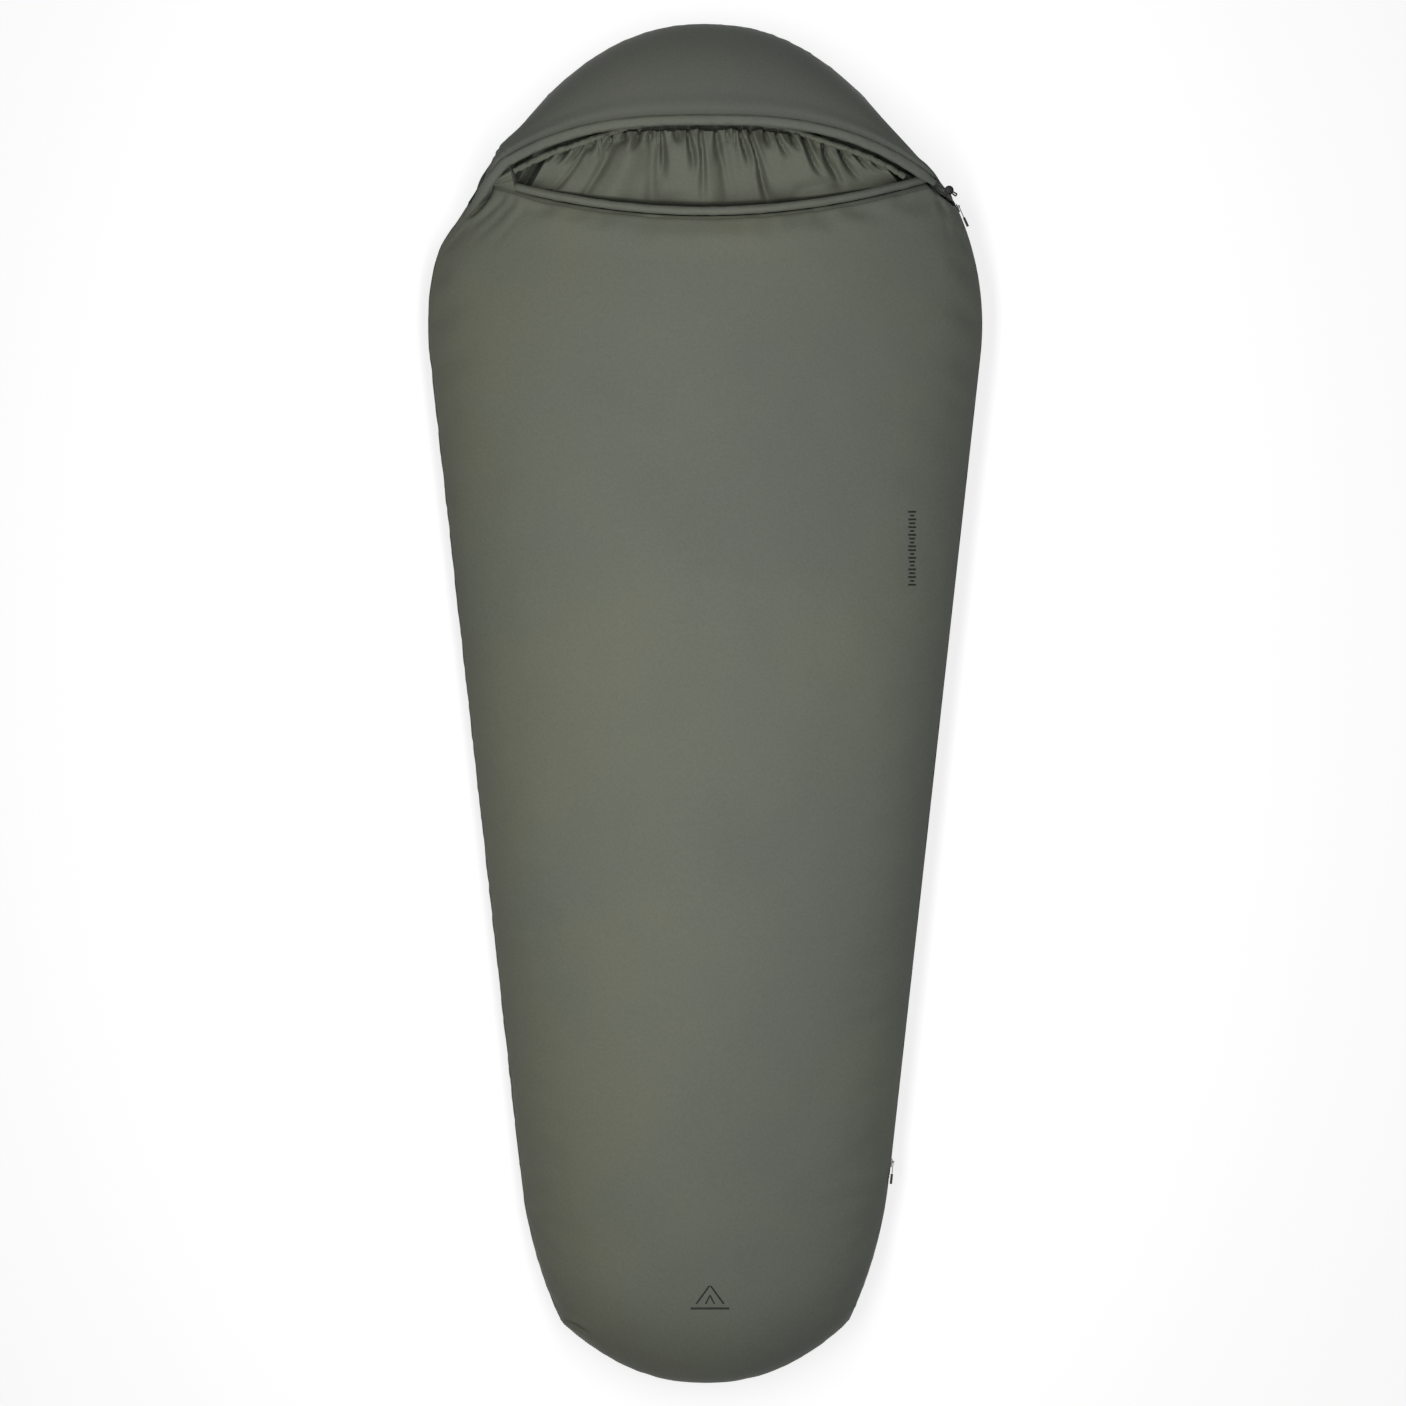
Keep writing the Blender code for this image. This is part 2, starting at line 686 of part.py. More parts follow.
def make_baffle():
    """The draught tube behind the zip."""
    points = []
    for i in range(BAFFLE_STEPS + 1):
        share = (i / BAFFLE_STEPS) ** 1.5
        where, angle = side_frame(BAFFLE_END + (ZIP_LENGTH - 2 * BAFFLE_END) * share)
        points.append((*(where - BAFFLE_INSET * unit(angle)), SEAM_Z))
    tube("zip_baffle", points, BAFFLE_RADIUS, LINING_FABRIC)


def make_slider(name, parent, location, turn):
    """A slider and its pull. X points out of the sack, and Y towards the head."""
    body = box(f"zip_slider_{name}", (0.9, -7, -5), (2.3, 7, 5), BLACK_METAL, PARTS)
    body.parent = parent
    body.location = location
    body.rotation_euler.z = turn
    combine(body, box(f"{name}_bridge", (-2.7, 1, -0.4), (1.2, 6, 0.4)), "UNION")
    combine(body, box(f"{name}_inner_plate", (-4.0, -6, -4.5), (-2.6, 6.5, 4.5)), "UNION")
    combine(body, box(f"{name}_upper_flange", (-0.6, -6, 4.2), (1.1, 6, 5)), "UNION")
    combine(body, box(f"{name}_lower_flange", (-0.6, -6, -5), (1.1, 6, -4.2)), "UNION")
    crown = cylinder(f"{name}_crown", 0.002, -0.0015, 0.0015, sides=20)
    crown.location = CROWN
    combine(body, crown, "UNION")
    hole = cylinder(f"{name}_crown_hole", 0.00115, -0.01, 0.01, sides=16)
    hole.location = CROWN
    combine(body, hole, "DIFFERENCE")

    hinge = empty(f"zip_pull_{name}_hinge", CROWN, body)
    pull = box(f"zip_pull_{name}", (-0.6, -0.6, -3.5), (0.6, 0.6, 3.5), BLACK_METAL, PARTS)
    pull.parent = hinge
    combine(pull, box(f"{name}_upper_arm", (-0.6, -12, 2.3), (0.6, 0.6, 3.5)), "UNION")
    combine(pull, box(f"{name}_lower_arm", (-0.6, -12, -3.5), (0.6, 0.6, -2.3)), "UNION")
    combine(pull, box(f"{name}_tab", (-0.6, -28, -3.5), (0.6, -10, 3.5)), "UNION")
    grip = box(f"zip_grip_{name}", (-1.9, -36, -4.6), (1.9, -20, 4.6), BLACK_PLASTIC, PARTS)
    grip.parent = hinge
    combine(grip, box(f"{name}_socket", (-0.9, -28.3, -3.8), (0.9, -19, 3.8)), "DIFFERENCE")


def make_sliders():
    arc = empty("zip_arc_centre", (*SHOULDER_CENTRE, SEAM_Z))
    arc.rotation_euler.z = SHOULDER_TURN - TOP_SLIDER_AT / SHOULDER_RADIUS
    make_slider("top", arc, (SHOULDER_RADIUS, 0, 0), 0.0)
    where, angle = side_frame(ZIP_LENGTH - BOTTOM_SLIDER_AT)
    track = empty("zip_track", (*where, SEAM_Z))
    make_slider("bottom", track, (0, 0, 0), angle)


make_top_panel()
make_base_and_foot()
make_hood()
make_face_binding()
make_brim_channel()
make_cord_lock(make_drawcord())
make_zip()
make_baffle()
make_sliders()
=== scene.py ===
"""The looks of a mummy-shaped, lightly padded bivy sack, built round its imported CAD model.

Metres, +Z up, the hood at +Y. The soft pieces repeat the CAD's own surfaces in a finer mesh, with
seams, puckers and gathers, and replace the plain solids. Stitches, the lining's hem, the fold at
the opening's corner and the printed marks are added.
"""

import math

import bmesh
import bpy
import numpy as np
from mathutils.bvhtree import BVHTree
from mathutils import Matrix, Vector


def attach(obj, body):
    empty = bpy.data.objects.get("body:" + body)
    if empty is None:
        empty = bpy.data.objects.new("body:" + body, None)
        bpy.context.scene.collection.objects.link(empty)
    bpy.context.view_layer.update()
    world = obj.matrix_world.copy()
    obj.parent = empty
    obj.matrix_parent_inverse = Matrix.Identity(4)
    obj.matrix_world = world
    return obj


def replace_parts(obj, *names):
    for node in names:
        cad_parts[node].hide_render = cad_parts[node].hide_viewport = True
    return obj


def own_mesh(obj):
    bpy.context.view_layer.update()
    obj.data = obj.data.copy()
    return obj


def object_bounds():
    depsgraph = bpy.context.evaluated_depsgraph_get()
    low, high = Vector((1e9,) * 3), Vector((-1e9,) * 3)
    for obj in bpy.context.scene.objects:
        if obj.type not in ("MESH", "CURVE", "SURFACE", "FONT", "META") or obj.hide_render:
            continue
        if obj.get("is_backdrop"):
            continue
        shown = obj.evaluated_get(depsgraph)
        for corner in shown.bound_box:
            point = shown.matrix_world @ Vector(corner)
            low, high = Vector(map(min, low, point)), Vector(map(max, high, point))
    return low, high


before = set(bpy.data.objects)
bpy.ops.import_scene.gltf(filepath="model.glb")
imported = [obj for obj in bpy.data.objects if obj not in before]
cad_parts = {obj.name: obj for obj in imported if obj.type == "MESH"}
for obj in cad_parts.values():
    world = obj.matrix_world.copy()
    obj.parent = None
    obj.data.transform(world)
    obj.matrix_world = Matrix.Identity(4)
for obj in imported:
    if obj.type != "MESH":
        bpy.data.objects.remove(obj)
cad_low, cad_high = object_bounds()

# The CAD's outline and surfaces.
LENGTH = 2.20
TAPER = math.radians(6.33)
SHOULDER_RADIUS = 0.459
SHOULDER_TURN = math.radians(25.5)
SHOULDER_CENTRE = np.array((-0.0102, 0.6136))
STRAIGHT_LENGTH = 1.3452
FOOT_SIDE_RADIUS = 0.71
FOOT_SIDE_TURN = math.radians(19.0)
FOOT_SAG, FOOT_SAG_START = 0.101, 0.75
HOOD_RADIUS = 0.34
HOOD_CENTRE = np.array((0.0, LENGTH / 2 - HOOD_RADIUS))
SEAM_Z, TOP_Z = 0.062, 0.150
NECK_DROP, NECK_DROP_END = 0.022, 0.18
TOP_POWER, ROOF_POWER = 2.2, 3.0
BOWL = 0.055
FOOT_ROUND_START = 0.936
FOOT_DEPTH, HOOD_DEPTH = 2.2, 0.35
CHIN_DIP, CHIN_RISE = 0.024, 0.054
CHIN_PEAK_AT, CHIN_END_AT, CHIN_RAMP = 0.89, 0.985, 0.12
BRIM_RISE, BRIM_POWER = 0.128, 2.8
GAP = 0.0003
ZIP_GAP = 0.0055
BINDING_RADIUS, CHANNEL_RADIUS, EDGE_CLEARANCE = 0.007, 0.010, 0.002
BINDING_LEFT, BINDING_RIGHT = -0.80, 0.89

SHOULDER_LENGTH = SHOULDER_RADIUS * (SHOULDER_TURN + TAPER)
SIDE_LENGTH = SHOULDER_LENGTH + STRAIGHT_LENGTH + FOOT_SIDE_RADIUS * FOOT_SIDE_TURN
STRAIGHT_END_B = (SHOULDER_LENGTH + STRAIGHT_LENGTH) / SIDE_LENGTH
FOOT_PANEL_B = 1 - BOWL / FOOT_DEPTH


def unit(angle):
    return np.stack([np.cos(angle), np.sin(angle)], axis=-1)


def side_frame(length):
    """The outline's point this far from the neck corner, and the angle of its outward normal."""
    length = np.asarray(length, float)
    turned = SHOULDER_TURN - length / SHOULDER_RADIUS
    shoulder = SHOULDER_CENTRE + SHOULDER_RADIUS * unit(turned)
    start = SHOULDER_CENTRE + SHOULDER_RADIUS * unit(-TAPER)
    down = unit(-TAPER - math.pi / 2)
    straight = start + (length - SHOULDER_LENGTH)[..., None] * down
    end = start + STRAIGHT_LENGTH * down
    last = -TAPER - (length - SHOULDER_LENGTH - STRAIGHT_LENGTH) / FOOT_SIDE_RADIUS
    foot = end - FOOT_SIDE_RADIUS * unit(-TAPER) + FOOT_SIDE_RADIUS * unit(last)
    in_shoulder = length <= SHOULDER_LENGTH
    in_foot = length > SHOULDER_LENGTH + STRAIGHT_LENGTH
    where = np.where(in_shoulder[..., None], shoulder, np.where(in_foot[..., None], foot, straight))
    angle = np.where(in_shoulder, turned, np.where(in_foot, last, -TAPER))
    return where, angle


def side(b):
    return side_frame(np.asarray(b, float) * SIDE_LENGTH)[0]


NECK = side(0.0)
reach = NECK - HOOD_CENTRE
crown_angle = math.atan2(reach[1], reach[0]) + math.acos(HOOD_RADIUS / np.hypot(*reach))
CROWN = HOOD_CENTRE + HOOD_RADIUS * unit(crown_angle)
CROWN_SAG = LENGTH / 2 - CROWN[1]


def hood_side(b):
    return NECK + np.asarray(b, float)[..., None] * (CROWN - NECK)


def ramp(x):
    return np.clip(x, 0, 1)


def smooth(x):
    x = ramp(x)
    return x * x * (3 - 2 * x)


def hill(distance, width):
    """1 at no distance, and next to nothing past twice the width."""
    return np.exp(-((distance / width) ** 2))


def arch(t, power):
    return ramp(1 - np.abs(t) ** power) ** (1 / power)


def power_circle(angle, power):
    """The fraction of the half width and the share of the height at an angle round a rounded section."""
    across = np.sign(np.sin(angle)) * np.abs(np.sin(angle)) ** (2 / power)
    return across, np.abs(np.cos(angle)) ** (2 / power)


def over_end(angle):
    return np.clip(np.cos(angle), 0, 1) ** (2 / TOP_POWER)


def chin(t):
    t = np.abs(t)
    middle = CHIN_RISE * (t / CHIN_PEAK_AT) ** 2 - CHIN_DIP
    fall = (CHIN_RISE - CHIN_DIP) * np.maximum(CHIN_END_AT - t, 0) / (CHIN_END_AT - CHIN_PEAK_AT)
    return np.where(t < CHIN_PEAK_AT, middle, fall)


def brim(t):
    return BRIM_RISE * (1 - np.abs(t) ** BRIM_POWER)


def slant(curve, t):
    """How much longer a width across a slanting edge is when it is measured along Y."""
    step = 0.01
    slope = (curve(t + step) - curve(t - step)) / (2 * step * NECK[0])
    return np.hypot(1, slope)


def setback(curve, t, radius):
    return radius * slant(curve, t) + EDGE_CLEARANCE


def foot_end(b, t):
    """How far the outline's middle moves along Y at the foot, against the side's own end."""
    sag = ramp((b - FOOT_SAG_START) / (1 - FOOT_SAG_START))
    return -FOOT_SAG * (1 - np.minimum(np.abs(t), 1) ** 2.2) * sag**2


def top_height(b):
    return TOP_Z - NECK_DROP * ramp(1 - b / NECK_DROP_END) ** 2


def zip_gap(t, b):
    """The shells stop further from the seam beside the zip, on the right-hand side."""
    return GAP + (ZIP_GAP - GAP) * smooth((STRAIGHT_END_B + 0.010 - b) / 0.014) * smooth(t / 0.6)


def stack(x, y, z):
    return np.stack(np.broadcast_arrays(x, y, z), axis=-1)


def top_surface(theta, b, over, inset=0.0, depth=0.0, sealed=False):
    """The top panel: an angle round its section, a place b along the side, an angle over the foot."""
    b = b + (1 - inset / FOOT_DEPTH - FOOT_ROUND_START) * over_end(over)
    edge = side(b)
    half = edge[..., 0] - inset
    thin = 1 - 0.5 * ramp(1 - b / CHIN_RAMP)
    height = (top_height(b) - SEAM_Z - depth * thin) * np.sin(over) ** (2 / TOP_POWER)
    t, rise = power_circle(theta, TOP_POWER)
    gap = GAP if sealed else zip_gap(t, b)
    front = chin(t * half / edge[..., 0]) * ramp(1 - b / CHIN_RAMP) ** 2
    z = SEAM_Z + gap + np.maximum(height - gap, 0) * rise
    return stack(half * t, edge[..., 1] + front + foot_end(b, t), z)


def lower_surface(share, across, b, up, outline, sag, inset, depth, zip_side):
    edge = outline(b)
    x = share * (edge[..., 0] - BOWL) + np.sign(share) * (BOWL - inset) * np.sin(across)
    gap = zip_gap(share, b) if zip_side else GAP
    rise = 1 - np.cos(across) * np.cos(up)
    z = depth + (SEAM_Z - gap - depth) * rise
    return stack(x, edge[..., 1] + sag(b, x / (edge[..., 0] - inset)), z)


def roof_surface(theta, over, inset=0.0, depth=0.0):
    b = (1 - inset / HOOD_DEPTH) * over_end(over)
    edge = hood_side(b)
    half = edge[..., 0] - inset
    height = (TOP_Z - SEAM_Z - depth) * np.sin(over) ** (2 / TOP_POWER)
    t, rise = power_circle(theta, ROOF_POWER)
    wide = t * half / edge[..., 0]
    front = brim(wide) + setback(brim, wide, CHANNEL_RADIUS) * (1 - smooth((np.abs(wide) - 0.90) / 0.10))
    y = edge[..., 1] + (1 - b) * front + b * CROWN_SAG * (1 - np.abs(t) ** 2.2)
    return stack(half * t, y, SEAM_Z + GAP + np.maximum(height - GAP, 0) * rise)


def roof_z(t):
    return SEAM_Z + (TOP_Z - SEAM_Z) * arch(t, ROOF_POWER)


def chin_z(t):
    return SEAM_Z + (top_height(0.0) - SEAM_Z) * arch(t, TOP_POWER)


def channel_point(t):
    return stack(NECK[0] * t, NECK[1] + brim(t), roof_z(t) - CHANNEL_RADIUS)


def binding_point(t):
    y = NECK[1] + chin(t) + setback(chin, t, BINDING_RADIUS)
    return stack(NECK[0] * t, y, chin_z(t) - BINDING_RADIUS)


def noise2(x, y, seed):
    """Smooth values between -1 and 1 that vary over about one unit of x and y, the same in every run."""
    size = 256
    values = np.random.default_rng(seed).uniform(-1, 1, (size, size))
    x, y = np.broadcast_arrays(np.asarray(x, float), np.asarray(y, float))
    column, row = np.floor(x).astype(int), np.floor(y).astype(int)
    u, v = x - column, y - row
    u, v = u * u * (3 - 2 * u), v * v * (3 - 2 * v)

    def value(i, j):
        return values[(column + i) % size, (row + j) % size]

    near = value(0, 0) * (1 - u) + value(1, 0) * u
    far = value(0, 1) * (1 - u) + value(1, 1) * u
    return near * (1 - v) + far * v


def drape(points):
    """The drawcord pulls the left-hand corner of the neck in, and the hood bulges a little above it."""
    moved = np.array(points, float)
    x, y = moved[..., 0], moved[..., 1]
    pull, bulge = 0.0205 * hill(y - 0.808, 0.050), 0.0085 * hill(y - 0.908, 0.020)
    moved[..., 0] += smooth((-x - 0.26) / 0.10) * (pull - bulge)
    return moved


# Meshes from grids of points.


def normals(grid):
    """Unit normals of a grid of points, by rows and columns."""
    along = np.gradient(grid, axis=0)
    across = np.gradient(grid, axis=1)
    normal = np.cross(across, along)
    return normal / np.maximum(np.linalg.norm(normal, axis=-1, keepdims=True), 1e-12)


def reach_from_start(grid, axis):
    """How far each point lies from the grid's first row or column, along the surface."""
    step = np.linalg.norm(np.diff(grid, axis=axis), axis=-1)
    total = np.cumsum(step, axis=axis)
    first = np.zeros_like(np.take(total, [0], axis=axis))
    return np.concatenate([first, total], axis=axis)


def reaches(grid):
    """How far each point lies from the last column, the nearer side, the first row and the last row."""
    right, start = reach_from_start(grid, 1), reach_from_start(grid, 0)
    left = right[:, -1:] - right
    return left, np.minimum(right, left), start, start[-1:] - start


def path_reach(path):
    """How far each point of a path lies from its start."""
    return reach_from_start(path[:, None, :], 0)[:, 0]


def quads(rows, columns, offset=0, closed=False):
    i, j = np.meshgrid(np.arange(rows - 1), np.arange(columns - (not closed)), indexing="ij")
    k = (j + 1) % columns
    faces = np.stack([i * columns + j, i * columns + k, (i + 1) * columns + k, (i + 1) * columns + j], -1)
    return (faces.reshape(-1, 4) + offset).tolist()


def rim(rows, columns):
    """The indices of a grid's border, as one loop."""
    top = [(0, j) for j in range(columns - 1)]
    right = [(i, columns - 1) for i in range(rows - 1)]
    bottom = [(rows - 1, j) for j in range(columns - 1, 0, -1)]
    left = [(i, 0) for i in range(rows - 1, 0, -1)]
    return [i * columns + j for i, j in top + right + bottom + left]


def add_object(name, data):
    made = bpy.data.objects.new(name, data)
    bpy.context.scene.collection.objects.link(made)
    return made


def place_mesh(name, mesh, surface, body):
    made = add_object(name, mesh)
    mesh.materials.clear()
    mesh.materials.append(surface)
    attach(made, body)
    return made


def make_object(name, points, faces, surface, body="sack"):
    """A closed piece with its faces turned outwards."""
    mesh = bpy.data.meshes.new(name)
    mesh.from_pydata(np.asarray(points, float).reshape(-1, 3).tolist(), [], faces)
    mesh.validate()
    mesh.shade_smooth()
    work = bmesh.new()
    work.from_mesh(mesh)
    bmesh.ops.recalc_face_normals(work, faces=work.faces)
    work.to_mesh(mesh)
    work.free()
    return place_mesh(name, mesh, surface, body)


def padded_panel(name, outer, inner, surface):
    """A closed panel: a fine outer grid and an inner grid, which may be coarser by a whole number."""
    rows, columns = outer.shape[:2]
    low_rows, low_columns = inner.shape[:2]
    ratio = (rows - 1) // (low_rows - 1)
    assert (rows - 1) == ratio * (low_rows - 1) and (columns - 1) == ratio * (low_columns - 1)
    points = np.concatenate([outer.reshape(-1, 3), inner.reshape(-1, 3)])
    start = rows * columns
    faces = quads(rows, columns)
    faces += [face[::-1] for face in quads(low_rows, low_columns, start)]
    fine = rim(rows, columns)
    coarse = [start + k for k in rim(low_rows, low_columns)]
    for i in range(len(coarse)):
        j = (i + 1) % len(coarse)
        span = [fine[(i * ratio + k) % len(fine)] for k in range(ratio + 1)]
        faces.append([*reversed(span), coarse[i], coarse[j]])
    return make_object(name, points, faces, surface)


def spread(values, length):
    """Values at every whole step of a finer grid, from a coarse grid's first axis."""
    fine, coarse = np.arange(length), np.linspace(0, length - 1, values.shape[0])
    flat = values.reshape(values.shape[0], -1)
    columns = [np.interp(fine, coarse, flat[:, k]) for k in range(flat.shape[1])]
    return np.stack(columns, -1).reshape(length, *values.shape[1:])


def soften(values, times):
    """Averages a grid with its neighbours, along both axes."""
    for _ in range(times):
        for axis in (0, 1):
            ends = np.take(values, [0], axis), np.take(values, [-1], axis)
            before = np.concatenate([ends[0], np.delete(values, -1, axis)], axis)
            after = np.concatenate([np.delete(values, 0, axis), ends[1]], axis)
            values = 0.5 * values + 0.25 * (before + after)
    return values


def settle(grid, stride, pressure, shrink, cap):
    """How a sewn-down panel moves when the filling blows out its cloth, which is cut a little full."""
    frames = 20
    coarse = grid[::stride, ::stride]
    rows, columns = coarse.shape[:2]
    mesh = bpy.data.meshes.new("settling")
    mesh.from_pydata(coarse.reshape(-1, 3).tolist(), [], quads(rows, columns))
    cloth = add_object("settling", mesh)
    sewn = cloth.vertex_groups.new(name="sewn")
    sewn.add(rim(rows, columns), 1.0, "REPLACE")
    modifier = cloth.modifiers.new("settling", "CLOTH")
    settings = modifier.settings
    settings.quality = 6
    settings.mass = 0.12
    settings.tension_stiffness = settings.compression_stiffness = 10.0
    settings.shear_stiffness = 4.0
    settings.bending_stiffness = 0.15
    settings.use_pressure = True
    settings.uniform_pressure_force = pressure
    settings.shrink_min = shrink
    settings.vertex_group_mass = "sewn"
    settings.effector_weights.gravity = 0.0
    modifier.collision_settings.use_collision = False
    modifier.point_cache.frame_end = frames
    for number in range(1, frames + 1):
        bpy.context.scene.frame_set(number)
    settled = cloth.evaluated_get(bpy.context.evaluated_depsgraph_get()).data
    moved = np.zeros(rows * columns * 3)
    settled.vertices.foreach_get("co", moved)
    change = moved.reshape(rows, columns, 3) - coarse
    bpy.data.objects.remove(cloth)
    bpy.context.scene.frame_set(1)
    size = np.linalg.norm(change, axis=-1, keepdims=True)
    change = change * np.minimum(1, cap / np.maximum(size, 1e-9))
    change = spread(change, grid.shape[0]).transpose(1, 0, 2)
    change = spread(change, grid.shape[1]).transpose(1, 0, 2)
    return soften(change, stride)


def frames_along(path, up):
    """For each point of a path: its direction, and two directions across it."""
    path = np.asarray(path, float)
    ahead = np.gradient(path, axis=0)
    ahead /= np.linalg.norm(ahead, axis=-1, keepdims=True)
    up = np.broadcast_to(np.asarray(up, float), path.shape)
    aside = np.cross(ahead, up)
    aside /= np.maximum(np.linalg.norm(aside, axis=-1, keepdims=True), 1e-9)
    return ahead, aside, np.cross(aside, ahead)


def round_angles(count):
    return np.linspace(0, 2 * np.pi, count, endpoint=False)


def tube_faces(rings, around):
    """The faces of a tube with a cap at each end."""
    faces = quads(rings, around, closed=True)
    return faces + [list(range(around)), [(rings - 1) * around + k for k in range(around)]]


def at_lengths(wanted, length, path):
    """The path's values at these lengths along it."""
    return np.stack([np.interp(wanted, length, path[:, k]) for k in range(3)], -1)


def roll(name, path, width, height, surface, around, lift=None, up=(0, 0, 1), square=1.0, body="sack"):
    """A closed roll along a path, with width and height as half sizes. lift moves a point outwards."""
    _, aside, above = frames_along(path, up)
    angle = round_angles(around)
    steps = np.arange(len(path))
    extra = np.zeros((len(path), around)) if lift is None else lift(steps[:, None], angle[None, :])
    width = np.broadcast_to(np.asarray(width, float), (len(path),))[:, None] + extra
    height = np.broadcast_to(np.asarray(height, float), (len(path),))[:, None] + extra
    ring = (
        np.asarray(path)[:, None, :]
        + (width * signed_power(np.cos(angle), square))[..., None] * aside[:, None, :]
        + (height * signed_power(np.sin(angle), square))[..., None] * above[:, None, :]
    )
    return make_object(name, ring, tube_faces(len(path), around), surface, body)


def signed_power(value, power):
    return np.sign(value) * np.abs(value) ** power


def even_path(path, spacing):
    """The same path with evenly spaced points."""
    path = np.asarray(path, float)
    length = path_reach(path)
    count = max(int(round(length[-1] / spacing)), 2)
    return at_lengths(np.linspace(0, length[-1], count + 1), length, path)


def repeated(faces, times, points):
    """The faces of many equal pieces, each with this many points."""
    return [[k + points * n for k in face] for n in range(times) for face in faces]


def stitches(name, path, outward, surface, radius=0.00035):
    """A row of stitches: each one is a short thread that dips into the fabric at both ends."""
    length, gap = 0.0032, 0.0012
    path = np.asarray(path, float)
    outward = np.broadcast_to(np.asarray(outward, float), path.shape)
    distance = path_reach(path)
    starts = np.arange(gap, distance[-1] - length - gap, length + gap)
    stations = np.array([0.0, 0.18, 0.5, 0.82, 1.0])
    dip = np.array([-0.7, 0.35, 0.6, 0.35, -0.7]) * radius
    size = np.array([0.45, 0.95, 1.0, 0.95, 0.45]) * radius
    where = starts[:, None] + stations * length
    point, normal = at_lengths(where, distance, path), at_lengths(where, distance, outward)
    ahead = point[:, -1] - point[:, 0]
    ahead /= np.linalg.norm(ahead, axis=-1, keepdims=True)
    aside = np.cross(ahead[:, None, :], normal)
    around = 6
    angle, size = round_angles(around)[:, None], size[:, None, None]
    ring = (
        (point + normal * dip[:, None])[:, :, None, :]
        + size * np.cos(angle) * aside[:, :, None, :] + size * np.sin(angle) * normal[:, :, None, :]
    )
    one = tube_faces(len(stations), around)
    make_object(name, ring, repeated(one, len(starts), len(stations) * around), surface)


# Materials.


def principled(name):
    made = bpy.data.materials.new(name)
    made.use_nodes = True
    return made, made.node_tree, made.node_tree.nodes["Principled BSDF"]


def feed(tree, node, values):
    """Gives a node's inputs their numbers and colours, or another node's output."""
    for key, value in values.items():
        if isinstance(value, (int, float)):
            node.inputs[key].default_value = value
        elif isinstance(value, tuple):
            node.inputs[key].default_value = (*value, 1.0)
        else:
            tree.links.new(value, node.inputs[key])
    return node


def math_node(tree, operation, *values):
    node = tree.nodes.new("ShaderNodeMath")
    node.operation = operation
    return feed(tree, node, dict(enumerate(values))).outputs[0]


def mix_colour(tree, share, first, second, mode="MIX"):
    node = tree.nodes.new("ShaderNodeMix")
    node.data_type = "RGBA"
    node.blend_type = mode
    return feed(tree, node, {0: share, 6: first, 7: second}).outputs[2]


def noise_node(tree, vector, scale, detail=2.0, roughness=0.5):
    values = {"Vector": vector, "Scale": scale, "Detail": detail, "Roughness": roughness}
    return feed(tree, tree.nodes.new("ShaderNodeTexNoise"), values).outputs["Fac"]


def map_range(tree, value, low, high, to_low, to_high):
    values = {"Value": value, "From Min": low, "From Max": high, "To Min": to_low, "To Max": to_high}
    return feed(tree, tree.nodes.new("ShaderNodeMapRange"), values).outputs["Result"]


def bump_node(tree, height, strength, distance, below=None, invert=False):
    """Bumps from a height, over another bump node's where one is given."""
    node = tree.nodes.new("ShaderNodeBump")
    node.invert = invert
    if below:
        tree.links.new(below, node.inputs["Normal"])
    values = {"Height": height, "Strength": strength, "Distance": distance}
    return feed(tree, node, values).outputs[0]


def fabric(
    name, warm_and_lit, cool_and_shaded, roughness=0.68, weave=1500.0, weave_depth=0.00004, crinkle=0.0006, shade_drift=0.0,
):
    """Woven cloth: threads both ways, soft crinkles, and a colour that wanders at random between two
    tones. The colour can also turn towards the darker cool tone along X: a painted shade that makes the
    right-hand side look less lit.
    """
    made, tree, shader = principled(name)
    link = tree.links.new
    where = tree.nodes.new("ShaderNodeTexCoord").outputs["Object"]
    apart = tree.nodes.new("ShaderNodeSeparateXYZ")
    link(where, apart.inputs[0])

    clouds = noise_node(tree, where, 2.6, 3.0, 0.5)
    share = map_range(tree, clouds, 0.34, 0.66, 0.0, 1.0)
    # Painted shade: along X the colour turns towards the darker cool tone, so the right-hand side looks
    # less lit than the left.
    if shade_drift:
        lean = math_node(tree, "MULTIPLY", apart.outputs["X"], shade_drift)
        share = math_node(tree, "ADD", share, lean)
    limited = tree.nodes.new("ShaderNodeClamp")
    link(share, limited.inputs[0])
    tone_and_shade = mix_colour(tree, limited.outputs[0], warm_and_lit, cool_and_shaded)
    grain = map_range(tree, noise_node(tree, where, 260.0, 3.0, 0.6), 0.3, 0.7, 0.93, 1.07)
    grained = mix_colour(tree, 1.0, tone_and_shade, grain, "MULTIPLY")

    threads = []
    for axis in ("X", "Y", "Z"):
        wave = math_node(tree, "MULTIPLY", apart.outputs[axis], 2 * math.pi * weave)
        threads.append(math_node(tree, "SINE", wave))
    crossed = math_node(tree, "MULTIPLY", threads[0], threads[1])
    steep = math_node(tree, "MULTIPLY", threads[2], 0.5)
    woven = math_node(tree, "ADD", crossed, steep)
    fine = bump_node(tree, woven, 0.35, weave_depth)
    soft = bump_node(tree, noise_node(tree, where, 55.0, 4.0, 0.55), 0.6, crinkle, fine)
    feed(tree, shader, {
        "Base Color": grained, "Normal": soft, "Specular IOR Level": 0.35,
        "Roughness": map_range(tree, clouds, 0.3, 0.7, roughness - 0.05, roughness + 0.05),
        "Sheen Weight": 0.06, "Sheen Roughness": 0.5,
    })
    return made


